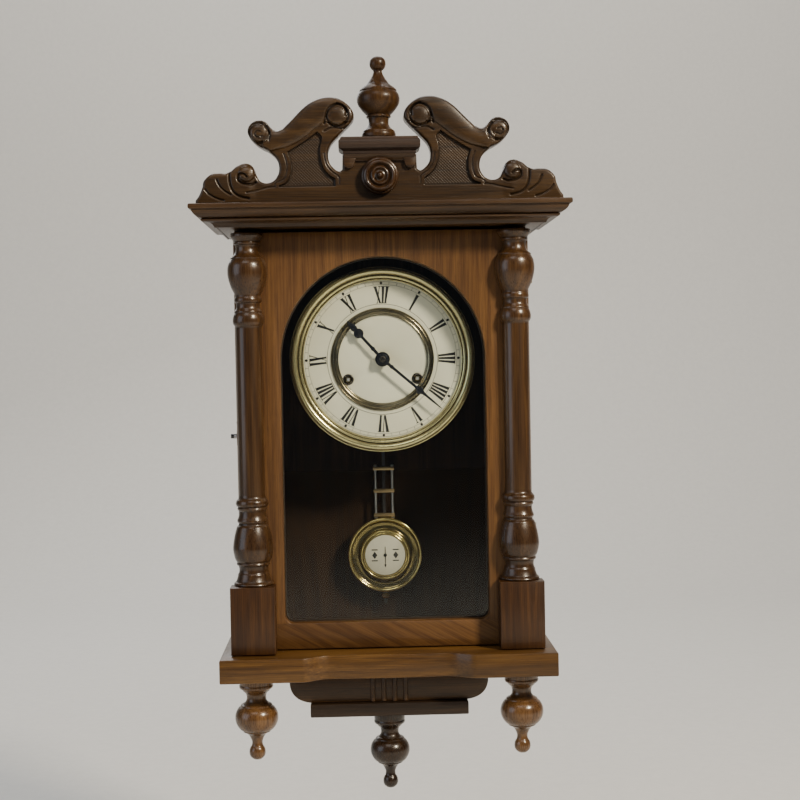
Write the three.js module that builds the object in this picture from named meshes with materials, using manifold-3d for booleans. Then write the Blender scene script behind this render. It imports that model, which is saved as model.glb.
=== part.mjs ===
// Pendulum wall clock: a spring-wound striking clock in a carved and turned wooden case.
//
// Millimetres, +Z up. The clock faces -Y and hangs on a wall whose face is the plane y = 0. The origin is
// on the rear face of the back board, on the axis of the hands. "Depth" below means the distance in front
// of the wall, so a depth d lies at y = -d.

import * as THREE from "three";
import { mergeVertices } from "three/addons/utils/BufferGeometryUtils.js";
import Module from "manifold-3d";

const wasm = await Module();
wasm.setup();

// ---------------------------------------------------------------- driving dimensions

const GAP = 0.3; // between pieces that touch

const CASE_HALF_WIDTH = 137; // outer face of the case sides and of the door
const CASE_DEPTH = 95; // front edge of the case sides
const SIDE_THICKNESS = 9;
const BACK_THICKNESS = 8;
const CASE_TOP = 122; // underside of the top board
const CASE_BOTTOM = -270.5; // upper face of the shelf

const HANGER_HALF_WIDTH = 20;
const HANGER_BOTTOM = 92;
const HANGER_TOP = 112;
const HANGER_THICKNESS = 2;
const KEYHOLE_Z = 98; // centre of the round end, which passes over the head of a wall hook
const KEYHOLE_RADIUS = 5;
const KEYHOLE_SLOT_TOP = 107;
const KEYHOLE_SLOT_HALF = 2.2;

const TOP_BOARD_HALF_WIDTH = 149;
const TOP_BOARD_DEPTH = 135;
const TOP_BOARD_TOP = 142.5;
const CORNICE_OVERHANG = 23.8; // beyond the top board

const DOOR_BACK = 95.5; // depth of the rear face of the door
const DOOR_FRONT = 111;
const DOOR_TOP = 119.5;
const DOOR_BOTTOM = -269.5;
const OPENING_RADIUS = 95.6; // half width of the window and radius of its arch
const OPENING_BOTTOM = -245;
const OPENING_CORNER = 8;
const REBATE = 6; // width and rear depth of the glass rebate
const GLASS_THICKNESS = 2;

const COLUMN_X = 124;
const COLUMN_DEPTH = 113; // depth of the column axis
const BLOCK_INNER = 103.6;
const BLOCK_OUTER = 144.8;
const BLOCK_TOP = -207.4;
const BLOCK_FRONT = 134;

const SHELF_HALF_WIDTH = 154.5;
const SHELF_DEPTH = 150;
const SHELF_THICKNESS = 22;
const SHELF_RECESS = 12; // how far the middle of the front edge steps back

const APRON_HALF_WIDTH = 93;
const APRON_FRONT = 114;
const APRON_THICKNESS = 24;
const APRON_HEIGHT = 26.5;
const APRON_ROUND = 18.5; // width of the curve at each end
const APRON_SHOULDER = 6; // straight part of each end, above the curve
const REED_XS = [-15.3, -5.1, 5.1, 15.3];
const REED_RADIUS = 2.4;
const LEDGE_HALF_WIDTH = 73.6;
const LEDGE_BACK = 80;
const LEDGE_FRONT = 120;
const LEDGE_THICKNESS = 12.5;
const CENTRE_FINIAL_SCALE = 0.92;

const CREST_FRONT = 129;
const CREST_THICKNESS = 19;
const CREST_FOOT = TOP_BOARD_TOP + GAP;
const CAP_HALF_WIDTH = 37.3;
const CAP_BOTTOM = 187.8;
const CAP_TOP = 203;
const CAP_BACK = 104;
const CAP_FRONT = 138;
const BOSS_Z = 167.5;

const DIAL_DEPTH = 80; // rear face of the dial plate
const DIAL_THICKNESS = 1.2;
const DIAL_FEET = [[-45, 35], [45, 35], [0, -46]];
const CENTRE_HOLE = 6;
const BEZEL_RADIUS = 88;
const BEZEL_INNER = 74.8;
const INNER_RING = 41.8; // inner radius of the raised ring round the middle of the dial
const DISC_RADIUS = 84.5;
const WINDING_HOLE = 4.4;
const WINDING_X = 32.8;
const WINDING_Z = -18.8;

const HOUR_HAND_DEPTH = 86.9; // rear faces of the hands
const MINUTE_HAND_DEPTH = 89.7;
const HAND_THICKNESS = 1.1;
const HOUR_OUTLINE = { boss: 7, bore: 4.9, knotAt: 33.2, knotHalf: 4.7, length: 50 };
const MINUTE_OUTLINE = { boss: 5, bore: 1.8, knotAt: 46, knotHalf: 3.6, length: 73.5 };
const HOUR_ANGLE = 318.2; // clockwise from XII, at rest
const MINUTE_ANGLE = 130.8;

const BACK_PLATE = 36; // depth of the rear face of the movement
const FRONT_PLATE = 66;
const PLATE_THICKNESS = 1.5;
const PLATE_HALF_WIDTH = 60;
const PLATE_BOTTOM = -52;
const PLATE_TOP = 56;
const BRACKET_X = 62.5; // inner face of each side of the bracket that holds the movement
const BRACKET_FOOT = 9.5;
const BRACKET_BOTTOM = -45;
const BRACKET_TOP = 55;

const PILLAR_X = 54;
const PILLAR_ZS = [-46, 50];
const HAMMER_X = 50; // axis of the strike hammer
const HAMMER_Z = 40;
const CANNON_BACK = 69.5; // rear faces of the wheels of the motion work
const HOUR_WHEEL_BACK = 73.3;
const CENTRE_ARBOR_END = 92.9;
const BARREL_RADIUS = 26.5;
const ESCAPE_BACK = 50; // rear face of the escape wheel and of the anchor's crescent

const GONG_Z = -30; // centre of the gong's coil
const GONG_DEPTH = 13;
const GONG_RADIUS = 42;

const PIVOT_Z = 36; // axis of the pendulum and of the anchor
const ESCAPE_Z = 19;
const MOTION_Z = 18.3; // axis of the motion-work wheel
const PENDULUM_DEPTH = 20;
const BOB_Z = -193.7;
const BOB_RADIUS = 37;
const BOB_FACE_RADIUS = 19.8;
const BOB_FACE_RISE = 6.4; // from the back of the bob to its white face
const GRID_BAR_ZS = [-108.3, -130.6, -154.6];
const GRID_BAR_HALF = 10.4;
const GRID_ROD_X = 8.3;

const HINGE_X = 139.9;
const HINGE_DEPTH = 95.25;
const HINGE_HEIGHT = 26;
const HINGE_LEAF = 1.2; // thickness
const HINGE_LEAF_BACK = 78; // rear edge of the leaf on the case
const KNUCKLE_RADIUS = 2.4;
const HINGE_PIN_RADIUS = 1.1;
const HINGE_ZS = { upper: 82, lower: -170 };

const HOOK_DEPTH = 88; // depth of the hook's pivot
const HOOK_Z = -70;
const HOOK_REACH = 10; // from the pivot to the catch pin
const HOOK_THICKNESS = 1.2;
const PIN_RADIUS = 1.3; // the catch pin, and the hole the hook turns on

// ---------------------------------------------------------------- materials

const material = (color, roughness, metalness = 0) =>
    new THREE.MeshStandardMaterial({ color, roughness, metalness });

const walnut = () => material(0x6b4524, 0.38);
const darkWood = () => material(0x4a3226, 0.4);
const redWood = () => material(0x5a3420, 0.35);
const veneer = () => material(0x8a5a30, 0.42);
const blackBoard = () => material(0x2a1d14, 0.6);
const brass = () => material(0xc9a24a, 0.25, 1);
const steel = () => material(0x8d8f92, 0.35, 1);
const blackSteel = () => material(0x141416, 0.35, 0.6);
const dialWhite = () => material(0xece6d2, 0.55);

// ---------------------------------------------------------------- geometry helpers

/** A closed geometry as a solid that can be joined and cut. */
function solid(geometry) {
    const bare = geometry.clone();
    bare.deleteAttribute("normal");
    bare.deleteAttribute("uv");
    const merged = mergeVertices(bare, 1e-4);
    return new wasm.Manifold(new wasm.Mesh({
        numProp: 3,
        vertProperties: new Float32Array(merged.attributes.position.array),
        triVerts: new Uint32Array(merged.index.array),
    }));
}

/** The geometry of a solid. */
function toGeometry(body) {
    const mesh = body.getMesh();
    const geometry = new THREE.BufferGeometry();
    geometry.setAttribute("position", new THREE.BufferAttribute(mesh.vertProperties, 3));
    geometry.setIndex(new THREE.BufferAttribute(mesh.triVerts, 1));
    geometry.computeVertexNormals();
    return geometry;
}

/** The first geometry joined with the others. */
function join(first, ...others) {
    return toGeometry(others.reduce((body, other) => body.add(solid(other)), solid(first)));
}

/** The first geometry with the others cut away. */
function cut(first, ...others) {
    return toGeometry(others.reduce((body, other) => body.subtract(solid(other)), solid(first)));
}

/** A box from its limits; back and front are depths. */
function box(left, right, back, front, bottom, top) {
    const geometry = new THREE.BoxGeometry(right - left, front - back, top - bottom);
    return geometry.translate((left + right) / 2, -(back + front) / 2, (bottom + top) / 2);
}

/** A cylinder along Y at (x, z) between two depths. */
function rod(x, z, radius, back, front, sides = 12) {
    const geometry = new THREE.CylinderGeometry(radius, radius, front - back, sides);
    return geometry.translate(x, -(back + front) / 2, z);
}

/** A cylinder along X at (depth, z). */
function pin(left, right, depth, z, radius, sides = 12) {
    const geometry = new THREE.CylinderGeometry(radius, radius, right - left, sides);
    return geometry.rotateZ(Math.PI / 2).translate((left + right) / 2, -depth, z);
}

/** A cylinder along Z at (x, depth). */
function post(x, depth, radius, bottom, top, sides = 12) {
    const geometry = new THREE.CylinderGeometry(radius, radius, top - bottom, sides);
    return geometry.rotateX(Math.PI / 2).translate(x, -depth, (bottom + top) / 2);
}

/** A shape drawn in the X-Z plane, as a plate between two depths. */
function plate(shape, back, front, curveSegments = 12) {
    const settings = { depth: front - back, bevelEnabled: false, curveSegments };
    return new THREE.ExtrudeGeometry(shape, settings).rotateX(Math.PI / 2).translate(0, -back, 0);
}

/** A shape drawn in the X-depth plane, as a board between two heights. */
function board(shape, bottom, top, curveSegments = 12) {
    const settings = { depth: top - bottom, bevelEnabled: false, curveSegments };
    const geometry = new THREE.ExtrudeGeometry(shape, settings).scale(1, -1, 1);
    return flipped(geometry).translate(0, 0, bottom);
}

/** The same geometry with its faces turned round, needed after a mirroring. */
function flipped(geometry) {
    const result = geometry.index ? geometry.toNonIndexed() : geometry;
    const position = result.attributes.position;
    const a = new THREE.Vector3();
    const b = new THREE.Vector3();
    for (let corner = 0; corner < position.count; corner += 3) {
        a.fromBufferAttribute(position, corner + 1);
        b.fromBufferAttribute(position, corner + 2);
        position.setXYZ(corner + 1, b.x, b.y, b.z);
        position.setXYZ(corner + 2, a.x, a.y, a.z);
    }
    return result;
}

/** The same geometry mirrored left to right. */
function mirrored(geometry) {
    return flipped(geometry.clone().scale(-1, 1, 1));
}

/** A turning about a vertical axis at (x, depth), from [radius, z] pairs listed from the bottom up. */
function turning(profile, x, depth, sides = 14) {
    const points = profile.map(([radius, z]) => new THREE.Vector2(radius, z));
    return new THREE.LatheGeometry(points, sides).rotateX(Math.PI / 2).translate(x, -depth, 0);
}

/** A turning about an axis along Y at (x, z), from [radius, depth] pairs listed from the front to the back. */
function dishing(profile, x, z, sides = 24) {
    const points = profile.map(([radius, depth]) => new THREE.Vector2(radius, -depth));
    return new THREE.LatheGeometry(points, sides).translate(x, 0, z);
}

/** A prism between two sections of equal point count, each a list of [x, depth, z]. */
function prism(first, second) {
    const flatten = (section) => section.map(([x, depth, z]) => new THREE.Vector2(depth - x, z));
    if (THREE.ShapeUtils.isClockWise(flatten(first))) {
        return prism([...first].reverse(), [...second].reverse());
    }
    const corners = [...first, ...second].map(([x, depth, z]) => new THREE.Vector3(x, -depth, z));
    const count = first.length;
    const triangles = [];
    for (const [a, b, c] of THREE.ShapeUtils.triangulateShape(flatten(first), [])) {
        triangles.push([a, b, c], [a + count, c + count, b + count]);
    }
    for (let i = 0; i < count; i += 1) {
        const next = (i + 1) % count;
        triangles.push([i, i + count, next], [next, i + count, next + count]);
    }
    const geometry = new THREE.BufferGeometry();
    const places = triangles.flat().flatMap((index) => corners[index].toArray());
    geometry.setAttribute("position", new THREE.Float32BufferAttribute(places, 3));
    return volumeOf(geometry) < 0 ? flipped(geometry) : geometry;
}

/** The signed volume enclosed by an unindexed geometry: negative when its faces point in. */
function volumeOf(geometry) {
    const position = geometry.attributes.position;
    const [a, b, c] = [new THREE.Vector3(), new THREE.Vector3(), new THREE.Vector3()];
    let volume = 0;
    for (let corner = 0; corner < position.count; corner += 3) {
        a.fromBufferAttribute(position, corner);
        b.fromBufferAttribute(position, corner + 1);
        c.fromBufferAttribute(position, corner + 2);
        volume += a.dot(b.cross(c)) / 6;
    }
    return volume;
}

/** A closed shape through points given as [x, z]. */
function polygon(points) {
    return new THREE.Shape(points.map(([x, z]) => new THREE.Vector2(x, z)));
}

/** The outline of a toothed wheel: two points to a tooth. */
function gearShape(teeth, tipRadius, toothDepth) {
    const points = [];
    for (let step = 0; step < 2 * teeth; step += 1) {
        const angle = (step * Math.PI) / teeth;
        const radius = step % 2 ? tipRadius - toothDepth : tipRadius;
        points.push([radius * Math.sin(angle), radius * Math.cos(angle)]);
    }
    return polygon(points);
}

/** A toothed wheel about an axis along Y at (x, z), with a bore if its radius is given. */
function gear(teeth, tipRadius, x, z, back, front, boreRadius = 0) {
    const shape = gearShape(teeth, tipRadius, tipRadius > 8 ? 1.4 : 1);
    if (boreRadius) {
        shape.holes.push(new THREE.Path().absarc(0, 0, boreRadius, 0, 2 * Math.PI, true));
    }
    return plate(shape, back, front, 8).translate(x, 0, z);
}

const clock = new THREE.Group();

/** Adds a piece to the clock. */
function add(name, geometry, look) {
    const mesh = new THREE.Mesh(geometry, look);
    mesh.name = name;
    clock.add(mesh);
}

// ---------------------------------------------------------------- outlines

/** The arched window outline, grown outwards by a margin. */
function windowPath(margin, PathClass = THREE.Shape) {
    const half = OPENING_RADIUS + margin;
    const bottom = OPENING_BOTTOM - margin;
    const corner = OPENING_CORNER;
    const path = new PathClass();
    path.moveTo(half, 0);
    path.absarc(0, 0, half, 0, Math.PI, false);
    path.lineTo(-half, bottom + corner);
    path.absarc(-half + corner, bottom + corner, corner, Math.PI, 1.5 * Math.PI, false);
    path.absarc(half - corner, bottom + corner, corner, 1.5 * Math.PI, 2 * Math.PI, false);
    path.closePath();
    return path;
}

/** The right half of the crest's outline, from its foot at the cornice to the middle of its top. */
function crestHalf() {
    const vector = ([x, z]) => new THREE.Vector2(x, z);
    const path = new THREE.Path();
    path.moveTo(168.8, CREST_FOOT);
    path.lineTo(168.6, 148);
    path.quadraticCurveTo(164, 152, 162, 160); // tip of the leaf
    path.splineThru([[160.5, 166], [154.3, 171.6], [147, 172.6], [141, 172.2]].map(vector));
    path.splineThru([[136, 174.2], [130.5, 178.8], [122.5, 181.3], [116, 178.2], [113, 170.8]].map(vector));
    path.splineThru([[109.6, 165], [103.4, 162.9], [96.5, 165.6], [92.3, 172.4], [92.2, 180]].map(vector));
    path.splineThru([[95.2, 186.6], [101.4, 192.2], [106.5, 194.8]].map(vector));
    path.splineThru([[113, 199.2], [118.6, 205.5], [119.9, 211.5], [117, 217.3], [110.5, 220.3]].map(vector));
    path.splineThru([[103.6, 218.8], [98.6, 213.2], [94, 210.4], [87.8, 212.6]].map(vector));
    path.splineThru([[78, 222.3], [69, 231.2], [60, 237.2], [49, 240.4], [37, 239.2]].map(vector));
    path.splineThru([[28, 233.4], [23.4, 226.5], [23.2, 220.5], [28, 214.4]].map(vector));
    path.splineThru([[37, 205.8], [44, 198.2], [47, 190], [45.8, 180.8], [41.3, 174.9]].map(vector));
    path.quadraticCurveTo(37.2, 171.8, 34.2, 174.2);
    path.lineTo(33.8, CAP_BOTTOM - GAP);
    return path.getPoints(1);
}

/** The shelf's outline in the X-depth plane: straight ends and a recessed, slightly bowed middle. */
function shelfShape() {
    const middle = SHELF_DEPTH - SHELF_RECESS;
    const shape = new THREE.Shape();
    shape.moveTo(-SHELF_HALF_WIDTH, 0);
    shape.lineTo(SHELF_HALF_WIDTH, 0);
    shape.lineTo(SHELF_HALF_WIDTH, SHELF_DEPTH);
    shape.lineTo(80, SHELF_DEPTH);
    shape.bezierCurveTo(70, SHELF_DEPTH - 1, 66, middle, 52, middle);
    shape.quadraticCurveTo(0, middle + 3, -52, middle);
    shape.bezierCurveTo(-66, middle, -70, SHELF_DEPTH - 1, -80, SHELF_DEPTH);
    shape.lineTo(-SHELF_HALF_WIDTH, SHELF_DEPTH);
    shape.closePath();
    return shape;
}

// ---------------------------------------------------------------- turned profiles, from the bottom up

const FINIAL_PROFILE = [
    [0, CAP_TOP + GAP], [15.4, CAP_TOP + GAP], [15.6, 207.4], [14.8, 209.9], [11.2, 212.8], [9.4, 215.4],
    [9.4, 219.2], [10.4, 222.2], [11.6, 224.2], [15.6, 229.2], [18.8, 234.1], [19.7, 239], [18.8, 243],
    [16.8, 246.8], [15.4, 248.6], [10.4, 252.6], [9, 254.6], [4.7, 261.6], [4.2, 265.2], [6.8, 267.8],
    [7.5, 271.6], [6.3, 275.4], [2.6, 277.9], [0, 278.2],
];

// heights below the board that the drop hangs from
const DROP_PROFILE = [
    [0, -78], [3.6, -77.4], [6.5, -75], [7.4, -71.4], [6.6, -67.2], [5.1, -64.2], [5.4, -60], [8.3, -54.2],
    [12.6, -50.5], [16.1, -48.4], [18.8, -44], [20.1, -38.2], [18, -31], [14.8, -26.6], [10.8, -23.8],
    [9.1, -19.4], [10.4, -15.2], [14.4, -10.8], [15.7, -7.9], [15.7, 0], [0, 0],
];

const COLUMN_PROFILE = [
    [0, BLOCK_TOP + GAP], [18.3, BLOCK_TOP + GAP], [16.5, -203.2], [14.9, -199], [13.7, -194.9],
    [13.8, -190.7], [15.1, -187.4], [17.4, -182.3], [18.6, -173.9], [17.3, -163.9], [15.1, -153.8],
    [12.9, -149.7], [13.8, -147.2], [13, -142.2], [12.4, -138.8], [13.8, -135.5], [14.9, -131.8],
    [14, -127.9], [12.1, -124.6], [12.1, 32.2], [13.5, 35.2], [14.1, 40], [12.8, 45.3], [11.2, 48.9],
    [11, 54.2], [12.4, 56], [12.6, 58.4], [11.9, 60.7], [12.5, 63.1], [15.5, 69], [17.6, 76.1],
    [18.5, 83.2], [17.2, 91.5], [14.3, 96], [12.2, 98.6], [10.7, 101.6], [10.4, 106.8], [11.9, 109.2],
    [13.2, 112.2], [15.1, 115.8], [14.8, 118.3], [0, 118.3],
];

// ---------------------------------------------------------------- the case

function buildCarcase() {
    const inner = CASE_HALF_WIDTH - SIDE_THICKNESS;
    const bottom = CASE_BOTTOM + GAP;
    const pocket = HANGER_HALF_WIDTH + GAP;
    const pocketFront = HANGER_THICKNESS + GAP;
    const hangerPocket = box(-pocket, pocket, -1, pocketFront, HANGER_BOTTOM - GAP, HANGER_TOP + GAP);
    const hookRoom = KEYHOLE_RADIUS + 2; // space behind the keyhole for the hook's head
    const hookPocket = box(-hookRoom, hookRoom, HANGER_THICKNESS, 6, KEYHOLE_Z - 4, KEYHOLE_SLOT_TOP + 2);
    const backBoard = box(-inner + GAP, inner - GAP, 0, BACK_THICKNESS, bottom, CASE_TOP);
    add("back_board", cut(backBoard, hangerPocket, hookPocket), blackBoard());

    const through = HANGER_THICKNESS + 1;
    const slot = KEYHOLE_SLOT_HALF;
    const keyhole = [
        rod(0, KEYHOLE_Z, KEYHOLE_RADIUS, -1, through),
        box(-slot, slot, -1, through, KEYHOLE_Z, KEYHOLE_SLOT_TOP),
        rod(0, KEYHOLE_SLOT_TOP, slot, -1, through),
    ];
    const wide = HANGER_HALF_WIDTH;
    const hanger = box(-wide, wide, 0, HANGER_THICKNESS, HANGER_BOTTOM, HANGER_TOP);
    add("hanger_plate", cut(hanger, ...keyhole), steel());

    add("case_side_left", box(-CASE_HALF_WIDTH, -inner, 0, CASE_DEPTH, bottom, CASE_TOP), veneer());
    add("case_side_right", box(inner, CASE_HALF_WIDTH, 0, CASE_DEPTH, bottom, CASE_TOP), veneer());
    const half = TOP_BOARD_HALF_WIDTH;
    add("case_top_board", box(-half, half, 0, TOP_BOARD_DEPTH, CASE_TOP + GAP, TOP_BOARD_TOP), walnut());

    const underside = CASE_BOTTOM - SHELF_THICKNESS;
    add("shelf_board", board(shelfShape(), underside, CASE_BOTTOM, 6), veneer());
}

/** The moulding round three sides of the top board, mitred at the front corners. */
function buildCornice() {
    const bottom = CASE_TOP + GAP;
    // [outward from the top board, height above its underside]
    const profile = [
        [GAP, 0], [2, 0], [8, 4.6], [13, 5.4], [15.3, 6.4], [15.3, 8.2], [17, 9.2], [20.5, 12], [22, 15.4],
        [CORNICE_OVERHANG, 15.8], [CORNICE_OVERHANG, 20.2], [GAP, 20.2],
    ];
    const section = (place) => profile.map(([out, up]) => [...place(out), bottom + up]);
    const halfWidth = TOP_BOARD_HALF_WIDTH;
    const front = TOP_BOARD_DEPTH;
    const left = section((out) => [-halfWidth - out + GAP, front + out]);
    const right = section((out) => [halfWidth + out - GAP, front + out]);
    add("cornice_front", prism(left, right), walnut());
    const rear = section((out) => [halfWidth + out, 0]);
    const corner = section((out) => [halfWidth + out, front + out - GAP]);
    const returnRight = prism(rear, corner);
    add("cornice_return_right", returnRight, walnut());
    add("cornice_return_left", mirrored(returnRight), walnut());
}

function buildCrest() {
    const half = crestHalf();
    const otherHalf = half.map((point) => new THREE.Vector2(-point.x, point.y)).reverse();
    const shape = new THREE.Shape([...half, ...otherHalf]);
    add("crest_board", plate(shape, CREST_FRONT - CREST_THICKNESS, CREST_FRONT), walnut());
    const capHalf = CAP_HALF_WIDTH;
    add("crest_cap_block", box(-capHalf, capHalf, CAP_BACK, CAP_FRONT, CAP_BOTTOM, CAP_TOP), darkWood());
    const face = CREST_FRONT + GAP;
    const boss = [
        [0, face + 12], [2.5, face + 11], [5, face + 7.5], [9, face + 7.5], [12, face + 9.5],
        [15, face + 8], [17, face + 4], [17, face], [0, face],
    ];
    add("crest_boss", dishing(boss, 0, BOSS_Z, 20), walnut());
    add("top_finial", turning(FINIAL_PROFILE, 0, (CAP_BACK + CAP_FRONT) / 2), walnut());
}

function buildApron() {
    const top = CASE_BOTTOM - SHELF_THICKNESS - GAP;
    const bottom = top - APRON_HEIGHT;
    const half = APRON_HALF_WIDTH;
    const shape = new THREE.Shape();
    shape.moveTo(half, top);
    shape.lineTo(-half, top);
    shape.lineTo(-half, top - APRON_SHOULDER);
    shape.quadraticCurveTo(-half, bottom + 3, -half + APRON_ROUND, bottom);
    shape.lineTo(half - APRON_ROUND, bottom);
    shape.quadraticCurveTo(half, bottom + 3, half, top - APRON_SHOULDER);
    shape.closePath();
    const ridges = REED_XS.map((x) => post(x, APRON_FRONT - 0.5, REED_RADIUS, bottom, top, 12));
    const apron = plate(shape, APRON_FRONT - APRON_THICKNESS, APRON_FRONT, 6);
    add("apron", join(apron, ...ridges), walnut());

    const ledgeTop = bottom - GAP;
    const ledgeBottom = ledgeTop - LEDGE_THICKNESS;
    const ledge = box(-LEDGE_HALF_WIDTH, LEDGE_HALF_WIDTH, LEDGE_BACK, LEDGE_FRONT, ledgeBottom, ledgeTop);
    add("apron_ledge", ledge, darkWood());

    const sideDrop = (x) => turning(DROP_PROFILE, x, COLUMN_DEPTH).translate(0, 0, top);
    add("drop_finial_left", sideDrop(-COLUMN_X), walnut());
    add("drop_finial_right", sideDrop(COLUMN_X), walnut());
    const small = DROP_PROFILE.map(([r, z]) => [r * CENTRE_FINIAL_SCALE, z * CENTRE_FINIAL_SCALE]);
    const centreDrop = turning(small, 0, (LEDGE_BACK + LEDGE_FRONT) / 2).translate(0, 0, ledgeBottom - GAP);
    add("drop_finial_centre", centreDrop, walnut());
}

// ---------------------------------------------------------------- the door

function buildDoor() {
    const half = CASE_HALF_WIDTH;
    const glassBack = DOOR_BACK + REBATE - GLASS_THICKNESS - GAP;
    const panel = box(-half, half, DOOR_BACK, DOOR_FRONT, DOOR_BOTTOM, DOOR_TOP);
    const opening = plate(windowPath(0), DOOR_BACK - 1, DOOR_FRONT + 1, 12);
    const rebate = plate(windowPath(REBATE), DOOR_BACK - 1, DOOR_BACK + REBATE, 12);
    add("door_panel", cut(panel, opening, rebate), veneer());

    const glass = plate(windowPath(REBATE - GAP), glassBack, glassBack + GLASS_THICKNESS, 12);
    add("door_glass", glass, material(0xbfd0d0, 0.05));
    const bead = windowPath(REBATE - GAP);
    bead.holes.push(windowPath(-1, THREE.Path));
    add("glass_bead", plate(bead, DOOR_BACK, glassBack - GAP, 12), darkWood());

    const behind = box(-200, 200, 50, DOOR_FRONT + GAP, -300, 200);
    const column = cut(turning(COLUMN_PROFILE, COLUMN_X, COLUMN_DEPTH), behind);
    add("column_right", column, redWood());
    add("column_left", mirrored(column.toNonIndexed()), redWood());
    const block = box(BLOCK_INNER, BLOCK_OUTER, DOOR_FRONT + GAP, BLOCK_FRONT, DOOR_BOTTOM, BLOCK_TOP);
    add("plinth_block_right", block, redWood());
    add("plinth_block_left", mirrored(block), redWood());

    const catchEnd = -half - 3 * HOOK_THICKNESS;
    add("catch_pin", pin(catchEnd, -half - GAP, HOOK_DEPTH + HOOK_REACH, HOOK_Z, PIN_RADIUS), steel());
}

/** Two butt hinges on the right: the case leaf holds the pin, and the door leaf turns on it. */
function buildHinges() {
    const leafInner = CASE_HALF_WIDTH + GAP;
    const leafOuter = leafInner + HINGE_LEAF;
    const knuckle = KNUCKLE_RADIUS;
    const bore = HINGE_PIN_RADIUS + 0.35;
    for (const [place, z] of Object.entries(HINGE_ZS)) {
        const bottom = z - HINGE_HEIGHT / 2;
        const top = z + HINGE_HEIGHT / 2;
        const caseLeaf = join(
            box(leafInner, leafOuter, HINGE_LEAF_BACK, HINGE_DEPTH - 0.2, bottom, z - GAP),
            post(HINGE_X, HINGE_DEPTH, knuckle, bottom, z - GAP),
            post(HINGE_X, HINGE_DEPTH, HINGE_PIN_RADIUS, z - 1, top - 2),
        );
        add(`case_hinge_${place}`, caseLeaf, brass());
        const doorLeaf = join(
            box(leafInner, leafOuter, HINGE_DEPTH + 0.2, DOOR_FRONT - 1, z, top),
            post(HINGE_X, HINGE_DEPTH, knuckle, z, top),
        );
        const pinBore = post(HINGE_X, HINGE_DEPTH, bore, z - 1, top - 1);
        add(`door_hinge_${place}`, cut(doorLeaf, pinBore), brass());
    }
}

/** The hook on the left side: it hangs upright and turns forwards over the catch pin. */
function buildHook() {
    const face = -CASE_HALF_WIDTH;
    const shape = new THREE.Shape();
    const reach = HOOK_REACH;
    // drawn as [towards the front, up], about the pivot
    shape.moveTo(-1.4, -8.6);
    shape.quadraticCurveTo(0.6, -9.4, 1.4, -7.6);
    shape.lineTo(2.4, -2);
    shape.lineTo(2.4, 2);
    shape.lineTo(-0.6, 6.4);
    shape.absarc(0, reach, 2.2, 1.25 * Math.PI, 0.3 * Math.PI, true);
    shape.lineTo(3.2, reach + 3);
    shape.quadraticCurveTo(-0.5, reach + 5.4, -3, reach + 2);
    shape.quadraticCurveTo(-4.4, reach - 1, -2.4, 2.4);
    shape.lineTo(-2.4, -2);
    shape.closePath();
    const settings = { depth: HOOK_THICKNESS, bevelEnabled: false, curveSegments: 6 };
    const flat = new THREE.ExtrudeGeometry(shape, settings);
    // [x, y, thickness] becomes [thickness towards -X, front towards -Y, up]
    const toSide = new THREE.Matrix4().makeBasis(
        new THREE.Vector3(0, -1, 0), new THREE.Vector3(0, 0, 1), new THREE.Vector3(-1, 0, 0));
    flat.applyMatrix4(toSide).translate(face - 0.6, -HOOK_DEPTH, HOOK_Z);
    const hole = pin(face - 3, face, HOOK_DEPTH, HOOK_Z, PIN_RADIUS);
    add("door_hook", cut(flat, hole), blackSteel());
    const screw = join(
        pin(face - 3, face - GAP, HOOK_DEPTH, HOOK_Z, PIN_RADIUS - GAP),
        pin(face - 7.4, face - 2.2, HOOK_DEPTH, HOOK_Z, 2.2),
    );
    add("hook_screw", screw, blackSteel());
}

// ---------------------------------------------------------------- the dial and hands

const WINDING_SIDES = { time: WINDING_X, strike: -WINDING_X };

function buildDial() {
    const back = DIAL_DEPTH;
    const front = DIAL_DEPTH + DIAL_THICKNESS;
    const disc = rod(0, 0, DISC_RADIUS, back, front, 36);
    const holes = Object.values(WINDING_SIDES).map((x) => {
        return rod(x, WINDING_Z, WINDING_HOLE, back - 1, front + 1);
    });
    const dial = solid(cut(disc, rod(0, 0, CENTRE_HOLE, back - 1, front + 1, 16), ...holes));
    const feet = DIAL_FEET.map(([x, z]) => {
        return solid(rod(x, z, 3, FRONT_PLATE + PLATE_THICKNESS + GAP, back + 0.5, 8));
    });
    add("dial_plate", toGeometry(feet.reduce((body, foot) => body.add(foot), dial)), dialWhite());

    const rim = front + GAP;
    const inner = BEZEL_INNER;
    const outer = BEZEL_RADIUS;
    const bezel = [
        [inner, rim], [inner + 0.6, rim + 2], [inner + 3.7, rim + 2.6], [inner + 5.2, rim + 5],
        [outer - 5, rim + 6.2], [outer - 1.6, rim + 5.4], [outer, rim + 3], [outer, back - 3],
        [outer - 3, back - 3], [outer - 3, rim], [inner, rim],
    ];
    add("dial_bezel", dishing(bezel, 0, 0, 36), brass());
    const ring = [[0, 0], [0.6, 1.4], [3.6, 2], [6.6, 1.2], [7.2, 0], [0, 0]].map(([out, up]) => {
        return [INNER_RING + out, rim + up];
    });
    add("dial_inner_ring", dishing(ring, 0, 0, 28), brass());
}

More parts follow.
